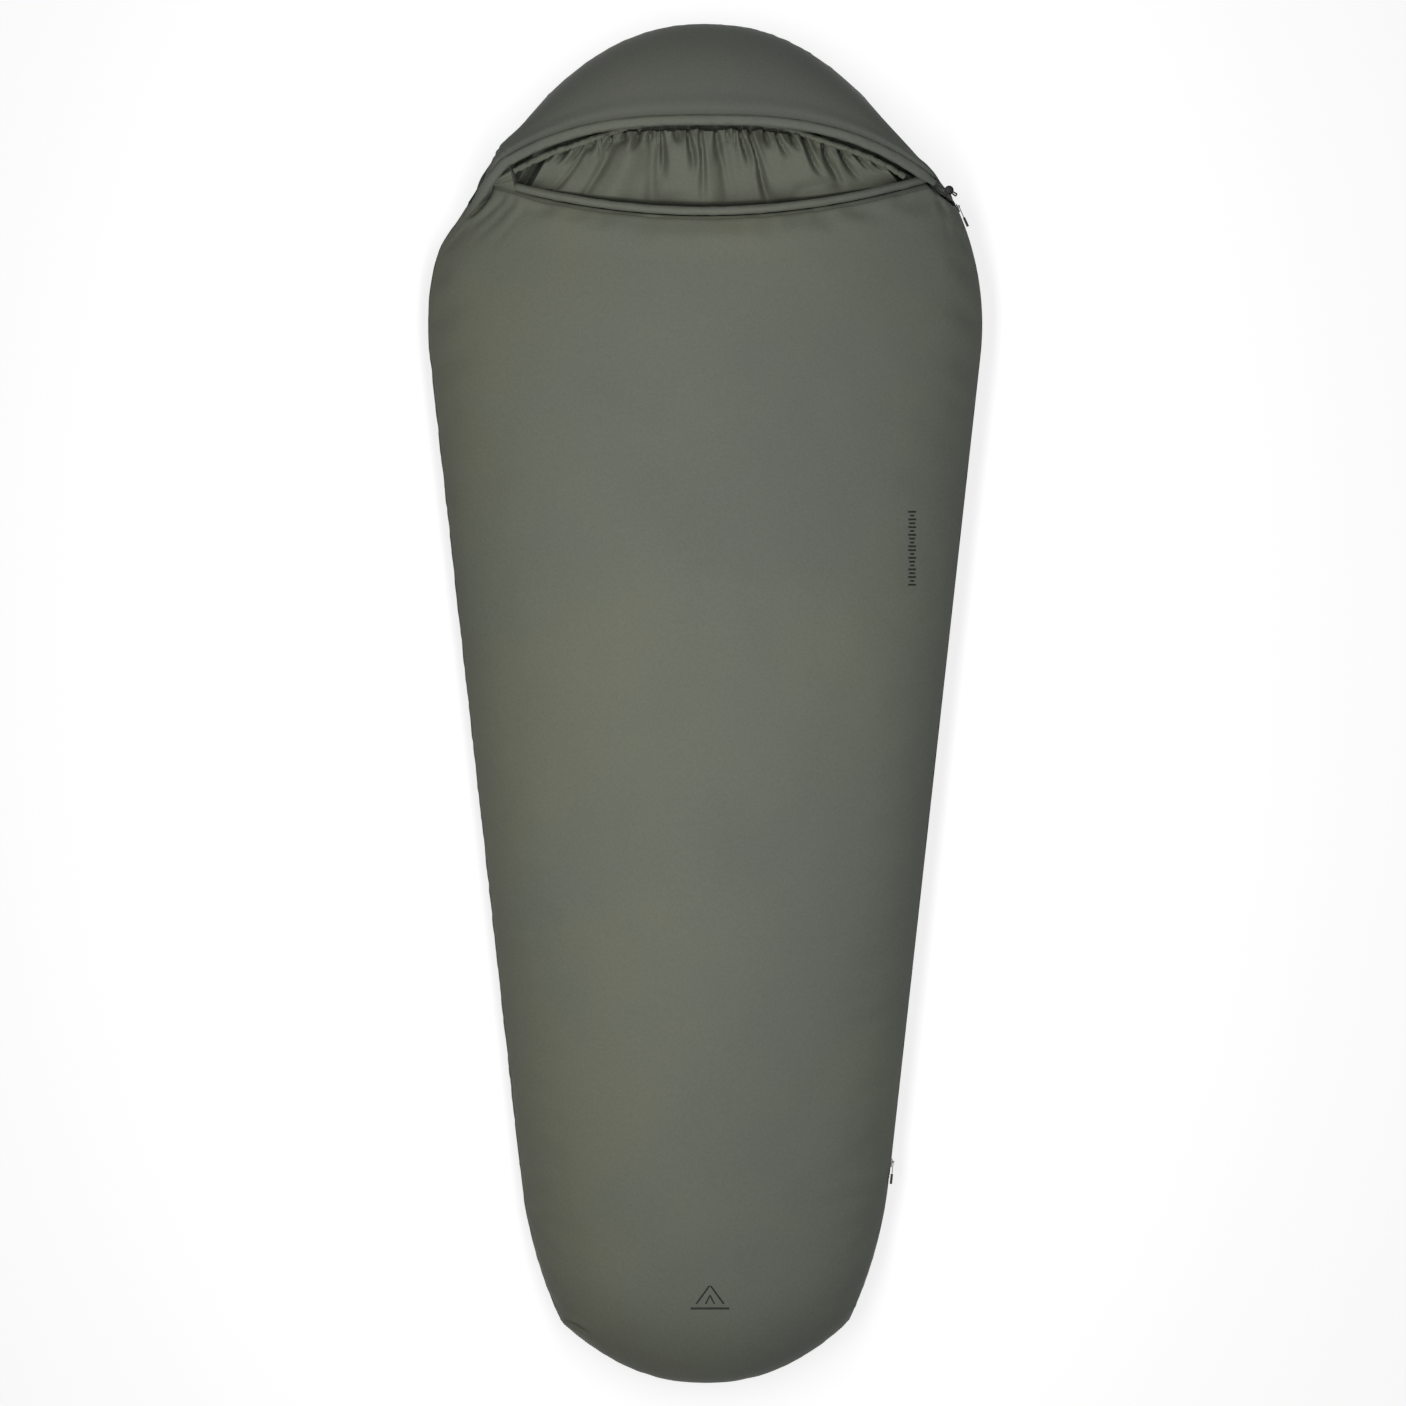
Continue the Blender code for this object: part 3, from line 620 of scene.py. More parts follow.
def hard(name, colour, roughness, metallic=0.0, grain=0.0):
    """Moulded plastic or metal: fine surface grain, uneven gloss and slightly worn spots."""
    made, tree, shader = principled(name)
    where = tree.nodes.new("ShaderNodeTexCoord").outputs["Object"]
    spots = noise_node(tree, where, 320.0, 4.0, 0.6)
    wear = 0.2
    worn = tuple(min(c * (1 + wear) + 0.01 * wear, 1.0) for c in colour)
    worn_share = map_range(tree, spots, 0.45, 0.7, 0.0, 1.0)
    feed(tree, shader, {
        "Base Color": mix_colour(tree, worn_share, colour, worn), "Metallic": metallic,
        "Roughness": map_range(tree, spots, 0.3, 0.7, roughness - 0.06, roughness + 0.08),
        "Normal": bump_node(tree, noise_node(tree, where, 900.0, 2.0), 0.4, grain),
    })
    return made


def braid(name, dark, light):
    """A braided cord: crossing strands along and round it."""
    made, tree, shader = principled(name)
    where = tree.nodes.new("ShaderNodeTexCoord").outputs["Object"]
    cells = feed(tree, tree.nodes.new("ShaderNodeTexVoronoi"), {"Vector": where, "Scale": 1400.0})
    strands = cells.outputs["Distance"]
    feed(tree, shader, {
        "Base Color": mix_colour(tree, strands, light, dark), "Roughness": 0.8,
        "Normal": bump_node(tree, strands, 0.7, 0.0003, invert=True),
    })
    return made


# The shell, hood and edging cloths darken towards the right-hand side: painted shade.
SHELL = fabric("shell_cloth", (0.142, 0.149, 0.109), (0.124, 0.138, 0.113), shade_drift=0.9)
# The hood's cloth is the shell cloth made darker: painted shade for the hood's roof, which slopes away
# from the light.
SHADED_HOOD = fabric("shaded_hood_cloth", (0.107, 0.113, 0.092), (0.096, 0.107, 0.092), shade_drift=0.9)
EDGING = fabric("edging_cloth", (0.136, 0.144, 0.112), (0.120, 0.132, 0.112), shade_drift=0.9)
# The base cloth is the shell's olive made a little darker: painted shade for the dark lower edge.
SHADED_BASE = fabric("shaded_base_cloth", (0.122, 0.129, 0.100), (0.108, 0.119, 0.100), roughness=0.62, weave=900.0)
# The lining cloth is its own olive made darker: painted shade for the light that the brim and the chin
# keep off the lining in the face opening.
SHADED_LINING = fabric(
    "shaded_lining_cloth", (0.134, 0.142, 0.105), (0.121, 0.132, 0.105), weave=2200.0, crinkle=0.0008,
)
TAPE = fabric("tape_cloth", (0.020, 0.021, 0.018), (0.026, 0.027, 0.024), weave=700.0, weave_depth=0.0001)
THREAD = fabric("thread", (0.070, 0.074, 0.058), (0.080, 0.084, 0.068), weave=3000.0, crinkle=0.0001)
SEAM_THREAD = fabric(
    "seam_thread", (0.030, 0.032, 0.026), (0.036, 0.038, 0.031), weave=3000.0, crinkle=0.0001,
)
PRINT = hard("print_ink", (0.010, 0.010, 0.010), 0.55, grain=0.00002)
TEETH = hard("teeth_plastic", (0.016, 0.016, 0.016), 0.38, grain=0.00002)
METAL = hard("zip_alloy", (0.170, 0.170, 0.175), 0.32, 0.9, 0.00003)
PLASTIC = hard("moulded_plastic", (0.012, 0.012, 0.013), 0.42, grain=0.00008)
STEEL = hard("spring_wire", (0.60, 0.60, 0.62), 0.26, 1.0, 0.00001)
CORD = braid("cord_braid", (0.012, 0.013, 0.011), (0.045, 0.047, 0.040))

# Camera: straight above, the hood at the top of the picture.
CAMERA_X, CAMERA_HEIGHT = -0.0033, 18.99
camera_data = bpy.data.cameras.new("camera")
camera_data.lens = 300.0
camera_data.sensor_width = 36.0
camera_data.clip_end = 200.0
camera = add_object("camera", camera_data)
camera.location = (CAMERA_X, 0.0, SEAM_Z + CAMERA_HEIGHT)
bpy.context.scene.camera = camera

# The drawcord's tail: out of the brim, through the cord lock, down the hood's side and under its edge.
CORD_Z = 0.105
TAIL_RADIUS = 0.00125
mouth = channel_point(0.92)
mouth[2] = CORD_Z
lock_centre = np.array((0.3945, 0.8290, CORD_Z))
along = (lock_centre - mouth) / np.linalg.norm(lock_centre - mouth)
TAIL_ROUTE = [
    (0.4052, 0.8245, 0.1020), (0.4070, 0.8238, 0.0950), (0.4075, 0.8236, 0.0750),
    (0.4074, 0.8236, 0.0500), (0.4072, 0.8237, 0.0280), (0.4066, 0.8242, 0.0110),
    (0.4035, 0.8272, 0.0035), (0.3965, 0.8325, 0.0018), (0.3830, 0.8390, 0.0016),
    (0.3650, 0.8480, 0.0016), (0.3460, 0.8620, 0.0016), (0.3270, 0.8800, 0.0016),
    (0.3090, 0.9000, 0.0016),
]


def smooth_route(points, spacing):
    """Evenly spaced points on the smooth curve through a route's points."""
    points = np.asarray(points, float)
    ends = [2 * points[0] - points[1], *points, 2 * points[-1] - points[-2]]
    fine = []
    for a, b, c, d in zip(ends, ends[1:], ends[2:], ends[3:]):
        for u in np.arange(24) / 24:
            bend = (2 * a - 5 * b + 4 * c - d) * u**2 + (3 * b - a - 3 * c + d) * u**3
            fine.append((2 * b + (c - a) * u + bend) / 2)
    fine.append(points[-1])
    return even_path(fine, spacing)


first, last = mouth + along * 0.001, lock_centre + along * 0.0085
straight_run = [first + (last - first) * i / 4 for i in range(5)]
tail_path = smooth_route([*straight_run, *TAIL_ROUTE], 0.0012)
tail = roll("drawcord_tail_braid", tail_path, TAIL_RADIUS, TAIL_RADIUS, CORD, 12, up=(0.3, 0.2, 1))
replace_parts(tail, "drawcord_tail")
tail_length = float(path_reach(tail_path)[-1])

# The top panel.
PANEL_COLUMNS, PANEL_ROWS, FOOT_ROWS = 180, 420, 48
BODY_ROWS = PANEL_ROWS - FOOT_ROWS + 1
theta = np.linspace(-np.pi / 2, np.pi / 2, PANEL_COLUMNS + 1)[None, ::-1]
body_part = np.linspace(0, 1, BODY_ROWS)[:, None] ** 1.05 * FOOT_ROUND_START
foot_part = np.linspace(0, np.pi / 2, FOOT_ROWS + 1)[1:, None]
panel_b = np.concatenate([body_part, np.full((FOOT_ROWS, 1), FOOT_ROUND_START)])
panel_over = np.concatenate([np.full((BODY_ROWS, 1), np.pi / 2), np.pi / 2 - foot_part])
outer = top_surface(theta, panel_b, panel_over)


def billows(grid, wide, long, seed):
    return noise2(grid[..., 0] / wide, grid[..., 1] / long, seed)


def pucker(reach, place, depth, run, pitch, seed):
    """Small folds that start at a seam and fade with the distance from it."""
    fold = noise2(place / pitch, reach / (6 * pitch), seed)
    return depth * fold * np.exp(-reach / run)


def creased(grid, creases):
    """Single folds, each along a curve given by its start, middle and end points, a width and a depth."""
    lift = np.zeros(grid.shape[:2])
    steps = 14
    share = np.linspace(0, 1, steps + 1)
    for a, b, c, width, depth in creases:
        a, b, c = (np.array(point) for point in (a, b, c))
        bend = np.array([(1 - u) ** 2 * a + 2 * u * (1 - u) * b + u * u * c for u in share])
        away = np.linalg.norm(grid[..., None, :2] - bend, axis=-1)
        nearest, along = away.min(-1), away.argmin(-1) / steps
        taper = np.sin(np.pi * (0.15 + 0.80 * along))
        lift -= depth * taper * hill(nearest, width)
        lift += 0.5 * depth * taper * hill(nearest, 3 * width)
    return lift


def upward(grid, row, column):
    """The grid's normals, on the side that looks up at one of its points."""
    facing = normals(grid)
    return facing * np.sign(facing[row, column, 2])


left, edge_reach, front, foot = reaches(outer)
lift = 0.0022 * billows(outer, 0.16, 0.22, 11) + 0.0009 * billows(outer, 0.06, 0.08, 12)
lift *= smooth(edge_reach / 0.06) * smooth(front / 0.05) * smooth(foot / 0.05)
lift += pucker(edge_reach, front, 0.0006, 0.020, 0.012, 13)
lift += pucker(edge_reach, front, 0.0022, 0.060, 0.040, 14) * smooth(edge_reach / 0.030)
lift += pucker(foot, outer[..., 0], 0.0004, 0.018, 0.011, 15)
lift += pucker(front, outer[..., 0], 0.0022, 0.016, 0.012, 16) * smooth(front / 0.004)
lift -= 0.0065 * hill(front, 0.0050)
CREASES = [
    ((0.368, 0.832), (0.383, 0.812), (0.399, 0.772), 0.0040, 0.0030),
    ((0.372, 0.818), (0.388, 0.792), (0.396, 0.748), 0.0050, 0.0022),
    ((-0.335, 0.826), (-0.362, 0.804), (-0.388, 0.768), 0.0045, 0.0030),
    ((-0.318, 0.815), (-0.352, 0.785), (-0.384, 0.735), 0.0060, 0.0022),
    ((-0.300, 0.800), (-0.330, 0.770), (-0.350, 0.725), 0.0070, 0.0014),
    ((-0.224, -0.999), (-0.205, -1.006), (-0.180, -1.024), 0.0032, 0.0070),
    ((0.250, -0.968), (0.247, -0.980), (0.236, -0.992), 0.0030, 0.0060),
]
lift += creased(outer, CREASES)
# The panel dips under the sleeve's left-hand end.
DIP_X, DIP_Y, DIP_COS, DIP_SIN = -0.3805, 0.8130, 0.781, 0.625
dip_x, dip_y = outer[..., 0] - DIP_X, outer[..., 1] - DIP_Y
across_dip, along_dip = DIP_COS * dip_x - DIP_SIN * dip_y, DIP_SIN * dip_x + DIP_COS * dip_y
lift -= 0.0130 * np.exp(-((across_dip / 0.0050) ** 2) - (along_dip / 0.0300) ** 4)
STITCH_IN = 0.0045
for reach in (left, front, foot):
    lift -= 0.0007 * hill(reach - STITCH_IN, 0.0014)
facing = upward(outer, PANEL_ROWS // 2, PANEL_COLUMNS // 2)
outer = outer + facing * lift[..., None]
calm = smooth(edge_reach / 0.10) * smooth(front / 0.08) * smooth(foot / 0.10)
blown = settle(outer, 3, 1.2, -0.020, 0.010) * (1 - 0.75 * calm)[..., None]
outer = outer + blown * np.array((0.35, 0.35, 1))


def stitch_line(reach):
    return int(np.argmin(np.abs(reach - STITCH_IN)))


near_chin = stitch_line(front[:, PANEL_COLUMNS // 2])
near_foot = stitch_line(foot[:, PANEL_COLUMNS // 2])
near_side = stitch_line(left[PANEL_ROWS // 2])
side_end = stitch_line(foot[:, near_side])
chin_row, chin_facing = outer[near_chin, 8:-8], facing[near_chin, 8:-8]
stitches("chin_stitches", drape(chin_row), chin_facing, SEAM_THREAD, radius=0.0004)
stitches("foot_stitches", outer[near_foot, 6:-6], facing[near_foot, 6:-6], THREAD)
stitches("side_stitches", drape(outer[6:side_end, near_side]), facing[6:side_end, near_side], THREAD)


def inside_panel(stride, inset, depth):
    """A coarser layer of the top panel that lies this far inside the seam and below the top."""
    b, over = panel_b[::stride], panel_over[::stride]
    return drape(top_surface(theta[:, ::stride], b, over, inset, depth, True))


top_panel = padded_panel("top_panel", drape(outer), inside_panel(6, 0.0250, 0.0210), SHELL)
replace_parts(top_panel, "top_shell", "top_fill")

# Plain printed marks: a row of bars by the right-hand side, and a tent over a bar at the foot.
INK_STEP, INK_THICKNESS = 0.002, 0.0003
panel_tree = BVHTree.FromPolygons(outer.reshape(-1, 3).tolist(), quads(*outer.shape[:2]))


def printed(name, shapes):
    """Thin ink that lies on the top panel. Each shape is the four corners of a bar."""
    points, faces = [], []
    for a, b, c, d in shapes:
        a, b, c, d = (np.array(corner) for corner in (a, b, c, d))
        across = max(int(np.linalg.norm(b - a) / INK_STEP), 1)
        along = max(int(np.linalg.norm(d - a) / INK_STEP), 1)
        for top in (True, False):
            start = len(points)
            for i in range(along + 1):
                for j in range(across + 1):
                    u, v = j / across, i / along
                    x, y = (1 - v) * ((1 - u) * a + u * b) + v * ((1 - u) * d + u * c)
                    hit = panel_tree.ray_cast((x, y, 0.3), (0, 0, -1))[0]
                    points.append((x, y, hit[2] + (INK_THICKNESS if top else -INK_THICKNESS)))
            faces += quads(along + 1, across + 1, start)
        first = rim(along + 1, across + 1)
        upper = start - (along + 1) * (across + 1)
        for k in range(len(first)):
            m = (k + 1) % len(first)
            faces.append((upper + first[k], upper + first[m], start + first[m], start + first[k]))
    make_object(name, points, faces, PRINT)


def bar(x, y, width, height):
    return [(x - width / 2, y - height / 2), (x + width / 2, y - height / 2),
            (x + width / 2, y + height / 2), (x - width / 2, y + height / 2)]


MARK_X, MARK_Y, MARK_PITCH, BAR_HEIGHT = 0.3345, 0.2500, 0.0062, 0.0028
BAR_WIDTHS = [0.013, 0.007, 0.013, 0.010, 0.013, 0.007, 0.010, 0.013, 0.007, 0.013,
              0.013, 0.007, 0.010, 0.013, 0.007, 0.013, 0.010, 0.013, 0.007, 0.013]
MIDDLE_BAR = (len(BAR_WIDTHS) - 1) / 2
printed("side_mark", [
    bar(MARK_X, MARK_Y + (i - MIDDLE_BAR) * MARK_PITCH, width, BAR_HEIGHT)
    for i, width in enumerate(BAR_WIDTHS)
])
FOOT_X, FOOT_Y = 0.008, -0.9560


def sloped(x0, y0, x1, y1, thick):
    return [(x0 - thick / 2, y0), (x0 + thick / 2, y0), (x1 + thick / 2, y1), (x1 - thick / 2, y1)]


GROUND_Y = FOOT_Y - 0.013
printed("foot_mark", [
    sloped(FOOT_X - 0.022, GROUND_Y, FOOT_X - 0.001, FOOT_Y + 0.016, 0.0032),
    sloped(FOOT_X + 0.022, GROUND_Y, FOOT_X + 0.001, FOOT_Y + 0.016, 0.0032),
    sloped(FOOT_X - 0.007, GROUND_Y, FOOT_X, FOOT_Y + 0.001, 0.0024),
    sloped(FOOT_X + 0.007, GROUND_Y, FOOT_X, FOOT_Y + 0.001, 0.0024),
    bar(FOOT_X, FOOT_Y - 0.0205, 0.062, 0.0034),
])

top_lining = padded_panel(
    "top_panel_lining", inside_panel(3, 0.0265, 0.0217), inside_panel(3, 0.0275, 0.0229), SHADED_LINING,
)
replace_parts(top_lining, "top_lining")


# The base and the foot.
def across_dish(limit, bowl_steps, flat_steps):
    """The angles across a dish: up one side, flat, and up the other side."""
    up_side = np.linspace(limit, 0, bowl_steps + 1)
    return np.concatenate([up_side[:-1], np.zeros(flat_steps + 1), up_side[::-1][1:]])


def dish(outline, sag, rows, inset, depth, zip_side=False, steps=(16, 48), limit=np.pi / 2, stride=1):
    """A flat bottom whose sides and end curve up to the seam."""
    bowl = np.ones(steps[0])
    share = np.concatenate([bowl, np.linspace(1, -1, steps[1] + 1), -bowl])[None, ::stride]
    across = across_dish(limit, *steps)[None, ::stride]
    b, up = (row[::stride, None] for row in rows)
    return lower_surface(share, across, b, up, outline, sag, inset, depth, zip_side)


def end_rows(start, stop, flat, steps, depth, inset):
    """Rows along the side and up the rounded end, as places b and angles."""
    up = np.linspace(0, np.pi / 2, steps + 1)[1:]
    b = 1 - (inset + (BOWL - inset) * (1 - np.sin(up))) / depth
    b = np.concatenate([np.linspace(start, stop, flat + 1), b])
    return b, np.concatenate([np.zeros(flat + 1), up])


def crown_end(b, t):
    return CROWN_SAG * (1 - np.minimum(np.abs(t), 1) ** 2.2) * np.maximum(b, 0) ** 1.5


def puckered(grid, seed, still, row):
    """An underside with soft billows and puckers, except where it is still or lies on the ground."""
    _, reach, start, end = reaches(grid)
    lift = 0.0015 * billows(grid, 0.12, 0.12, seed) * smooth(reach / 0.04)
    lift += pucker(reach, start, 0.0008, 0.018, 0.012, seed + 1)
    lift += pucker(end, grid[..., 0], 0.0008, 0.018, 0.012, seed + 2)
    facing = -upward(grid, row, grid.shape[1] // 2)
    return grid + facing * (lift * smooth(grid[..., 2] / 0.02) * (1 - still))[..., None]


base_rows = end_rows(0, FOOT_PANEL_B, 192, 24, FOOT_DEPTH, 0)
base_out = dish(side, foot_end, base_rows, 0, 0, True)
beside_zip = smooth(base_out[..., 0] / 0.1) * smooth((base_out[..., 2] - 0.030) / 0.016)
base_out = puckered(base_out, 31, beside_zip, 60)
base_rows = end_rows(0, FOOT_PANEL_B, 192, 24, FOOT_DEPTH, 0.021)
base_in = dish(side, foot_end, base_rows, 0.021, 0.0173, stride=4)
base_panel = padded_panel("base_panel", drape(base_out), drape(base_in), SHADED_BASE)
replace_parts(base_panel, "base_shell", "base_fill", "foot_shell", "foot_fill")
base_rows = end_rows(0, FOOT_PANEL_B, 96, 12, FOOT_DEPTH, 0.0225)
base_lining = padded_panel(
    "base_panel_lining", drape(dish(side, foot_end, base_rows, 0.0225, 0.0176, steps=(8, 24))),
    drape(dish(side, foot_end, base_rows, 0.0231, 0.0182, steps=(8, 24))), SHADED_LINING,
)
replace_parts(base_lining, "base_lining", "foot_lining")

# The hood's roof.
ROOF_COLUMNS, ROOF_ROWS = 180, 90
theta = np.linspace(-np.pi / 2, np.pi / 2, ROOF_COLUMNS + 1)[None, ::-1]
over = np.linspace(np.pi / 2, 0, ROOF_ROWS + 1)[:, None]
roof = roof_surface(theta, over)
_, reach, front, crown = reaches(roof)
lift = 0.0020 * billows(roof, 0.14, 0.12, 41) * smooth(reach / 0.05)
lift += pucker(reach, front, 0.0007, 0.022, 0.013, 42)
lift += pucker(crown, roof[..., 0], 0.0008, 0.020, 0.012, 43)
lift += pucker(front, roof[..., 0], 0.0012, 0.014, 0.009, 44)
lift += -0.0035 * hill(front, 0.005) + 0.0030 * hill(front - 0.014, 0.014)
lift += creased(roof, [
    ((-0.322, 0.872), (-0.333, 0.882), (-0.344, 0.889), 0.0032, 0.0030),
    ((-0.314, 0.880), (-0.324, 0.891), (-0.333, 0.900), 0.0032, 0.0026),
    ((-0.304, 0.886), (-0.311, 0.899), (-0.319, 0.911), 0.0036, 0.0022),
    ((-0.345, 0.850), (-0.358, 0.855), (-0.368, 0.856), 0.0030, 0.0026),
])
roof = roof + upward(roof, 10, ROOF_COLUMNS // 2) * lift[..., None]
# The left-hand corner reaches forward, and the front edge is tucked in under the sleeve.
CORNER_FORWARD = 0.018
roof[..., 1] -= CORNER_FORWARD * smooth((-roof[..., 0] - 0.335) / 0.04) * hill(front, 0.030)
TUCK_ROWS = 6
share = power_circle(theta, ROOF_POWER)[0]
under = channel_point(share)[0] + np.array((0, 0.004, -0.004))
corner = smooth((np.abs(share[0]) - 0.86) / 0.07)[:, None]
low = stack(NECK[0] * share[0], NECK[1] + 0.7 * brim(share[0]) - 0.001, np.minimum(roof[0, :, 2], 0.080))
target = under * (1 - corner) + low * corner
target[:, 1] -= CORNER_FORWARD * smooth((-target[:, 0] - 0.335) / 0.04)
step = np.linspace(1, 0, TUCK_ROWS, endpoint=False)[:, None, None]
dip = corner * np.array((0, 0, -0.012))
tuck = roof[0] + (target - roof[0]) * step + dip * np.sin(np.pi * step)
roof = np.concatenate([tuck, roof])
# The cord lock lies in a hollow of the hood's corner.
LOCK_X, LOCK_Y = 0.3885, 0.8318


def beside_lock(points, top):
    x, y = points[..., 0], points[..., 1]
    near_lock = np.exp(-(((x - LOCK_X) / 0.0215) ** 4) - ((y - LOCK_Y) / 0.0165) ** 4)
    lowered = points.copy()
    lowered[..., 2] -= np.maximum(points[..., 2] - top, 0) * near_lock
    return lowered


roof = beside_lock(roof, 0.084)
roof_in = roof_surface(theta[:, ::3], over[::3], 0.019, 0.0151)
first_row = roof_in[0]
target_in = target[::3] + np.array((0, 0.002, -0.004))
tuck_in = first_row + (target_in - first_row) * np.array([1.0, 0.5])[:, None, None]
roof_in = beside_lock(np.concatenate([tuck_in, roof_in]), 0.080)
hood_roof = padded_panel("hood_roof", drape(roof), drape(roof_in), SHADED_HOOD)
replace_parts(hood_roof, "hood_roof_shell", "hood_roof_fill")


def roof_lining(inset, depth, top):
    """The roof's lining, drawn in at the hood's two front corners."""
    points = beside_lock(roof_surface(theta[:, ::3], over[::3], inset, depth), top)
    x, y = points[..., 0], points[..., 1]
    near = smooth((np.abs(x) - 0.325) / 0.030) * smooth((0.890 - y) / 0.030)
    return drape(points - stack(0.014 * np.sign(x) * near, 0 * near, 0.010 * near))


hood_roof_lining = padded_panel(
    "hood_roof_inner", roof_lining(0.0205, 0.0157, 0.0790), roof_lining(0.0211, 0.0163, 0.0784), SHADED_LINING,
)
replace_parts(hood_roof_lining, "hood_roof_lining")

# The hood's back: coated fabric below, padding and gathered lining above it.
HOOD_START = -0.0015
HOOD_BOWL = 1 - BOWL / HOOD_DEPTH
back_out = dish(hood_side, crown_end, end_rows(HOOD_START, HOOD_BOWL, 32, 16, HOOD_DEPTH, 0), 0, 0)
back_out = puckered(back_out, 51, 0, 10)
PAD_INSET, PAD_TOP, PAD_RISE_Y, PAD_BEND, PAD_RIM = 0.015, 0.086, 0.125, 1.6, 0.001
PAD_LOW, BASE_FILL, PAD_STEPS = 0.0023, 0.016, (16, 48)
PAD_LIMIT = math.radians(80)


def pad_top():
    """The top of the padding under the head, as the CAD has it."""
    b, up = end_rows(HOOD_START, HOOD_BOWL, 32, 16, HOOD_DEPTH, PAD_INSET)
    up = up * (PAD_LIMIT / (np.pi / 2))
    b = np.where(up > 0, 1 - (PAD_INSET + (BOWL - PAD_INSET) * (1 - np.sin(up))) / HOOD_DEPTH, b)
    pad = dish(hood_side, crown_end, (b, up), PAD_INSET, PAD_LOW, steps=PAD_STEPS, limit=PAD_LIMIT)
    rise = np.clip((pad[..., 1] - NECK[1]) / PAD_RISE_Y, 0, PAD_BEND)
    top = BASE_FILL + (PAD_TOP - BASE_FILL) * np.sin(np.pi / 2 * rise)
    share = (np.cos(across_dish(PAD_LIMIT, *PAD_STEPS)[None, :]) * np.cos(up[:, None])) ** 2
    pad[..., 2] += PAD_RIM + np.maximum(top - pad[..., 2] - PAD_RIM, 0) * share
    return pad


hood_back = padded_panel("hood_back", drape(back_out), drape(pad_top()), SHADED_BASE)
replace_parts(hood_back, "hood_back_shell", "hood_back_fill")

# The gathered lining in the face opening: it starts in pleats under the brim and ends under the chin.
# Each pleat: its place across, its length, how far its foot leans aside, and its depth.
PLEATS = [
    (-0.243, 0.030, -0.016, 0.007), (-0.220, 0.040, -0.020, 0.008), (-0.196, 0.045, -0.024, 0.007),
    (-0.176, 0.024, -0.010, 0.006), (-0.152, 0.036, -0.018, 0.008), (-0.128, 0.018, -0.006, 0.006),
    (-0.104, 0.030, -0.010, 0.008), (-0.086, 0.016, -0.004, 0.005), (-0.067, 0.072, -0.004, 0.008),
    (-0.046, 0.020, 0.002, 0.005), (-0.024, 0.062, 0.004, 0.009), (-0.006, 0.110, 0.002, 0.005),
    (0.018, 0.050, 0.006, 0.009), (0.036, 0.020, 0.004, 0.005), (0.060, 0.060, 0.012, 0.009),
    (0.073, 0.120, 0.034, 0.008), (0.095, 0.026, 0.008, 0.006), (0.118, 0.040, 0.016, 0.007),
    (0.140, 0.030, 0.014, 0.006), (0.158, 0.070, 0.034, 0.009), (0.186, 0.086, 0.036, 0.008),
    (0.214, 0.074, 0.034, 0.008), (0.240, 0.052, 0.032, 0.008), (0.262, 0.046, 0.030, 0.007),
    (0.286, 0.036, 0.026, 0.006),
]
LINING_COLUMNS, LINING_ROWS = 640, 168
x = np.linspace(0.350, -0.335, LINING_COLUMNS + 1)[None, :]
s = x / NECK[0]
brim_edge = NECK[1] + brim(s) - CHANNEL_RADIUS * slant(brim, s)
chin_edge = NECK[1] + chin(s) + 0.010
down = np.linspace(-0.040, 0.165, LINING_ROWS + 1)[:, None]
room = brim_edge - chin_edge
behind = 1.0 - 0.7 * smooth((np.abs(x) - 0.25) / 0.06)
y = brim_edge - down * np.where(down > 0, np.maximum(room, 0.02) / 0.110, behind)
crest = roof_z(s) - 0.034
ragged = 0.003 * noise2(x / 0.011, 0.5, 67)
past = smooth((down + 0.0045 + ragged) / 0.007)
fall = 0.014 * smooth(down / 0.12) + 0.080 * smooth((down - 0.097) / 0.032)
z = (crest - 0.080) * (1 - past) + crest * past - fall - 0.03 * smooth(-down / 0.03)
left_pocket = ramp(1 - np.abs(x + 0.283 - 0.58 * (y - 0.856)) / 0.013)
right_pocket = ramp(1 - np.abs(x - 0.318 + 0.90 * (y - 0.850)) / 0.012)
z = z - 0.060 * (left_pocket + right_pocket) - 0.025 * smooth((-x - 0.29) / 0.02)
wander = 0.004 * noise2(x / 0.03, down / 0.05, 61)
for place, length, lean, depth in PLEATS:
    along = down / length
    centre = place + lean * np.clip(along, 0, 1.2) ** 1.3 + wander
    width = 0.0024 + 0.0058 * ramp(along)
    near, shoulder = hill(x - centre, width), hill(x - centre, 2.6 * width)
    fading = smooth((1.15 - along) / 1.0) * smooth((down + 0.008) / 0.008)
    z = z - 3.4 * depth * fading * near + 0.9 * depth * fading * shoulder
outwards = x - 0.55 * down * np.tanh(x / 0.12)
z = z + 0.0115 * noise2(outwards / 0.036, down / 0.12, 62) * smooth(down / 0.02)
valley = hill(noise2(outwards / 0.042, down / 0.16, 64), 0.20)
z = z - 0.0120 * valley * smooth(down / 0.015) * (0.6 + 0.4 * noise2(x / 0.08, down / 0.05, 65))
z = z + 0.0020 * noise2(x / 0.012, down / 0.05, 63) * np.exp(-np.maximum(down, 0) / 0.04)
z = z - 0.0100 * hill(noise2(x / 0.0135, 0.5, 66), 0.28) * hill(down - 0.006, 0.016)
z = np.maximum(z, 0.022)
lining_over = stack(np.broadcast_to(x, z.shape), y, z)
lining_under = lining_over[::4, ::4] - np.array((0, 0, 0.0010))
hood_lining = padded_panel("hood_lining", lining_over, lining_under, SHADED_LINING)
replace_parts(hood_lining, "hood_back_lining")

# The lining's gathered hem, under the brim.
HEM_STEP = 0.0016
t = np.linspace(-0.765, 0.80, 500)
outwards = smooth((np.abs(t) - 0.20) / 0.35)
hem_drop = CHANNEL_RADIUS - 0.0095 + 0.0160 * outwards
hem_y = NECK[1] + brim(t) - hem_drop * slant(brim, t)
hem_path = even_path(stack(NECK[0] * t, hem_y, roof_z(t) - 0.050 + 0.020 * outwards), HEM_STEP)


def hem_lift(step, angle):
    place = step * HEM_STEP
    coarse = 0.0012 * noise2(place / 0.0055, angle * 0.8, 74)
    return coarse + 0.0006 * noise2(place / 0.0025, angle * 1.5, 75)


hem_roll = roll("lining_hem", hem_path, 0.0046, 0.0040, SHADED_LINING, 16, hem_lift)

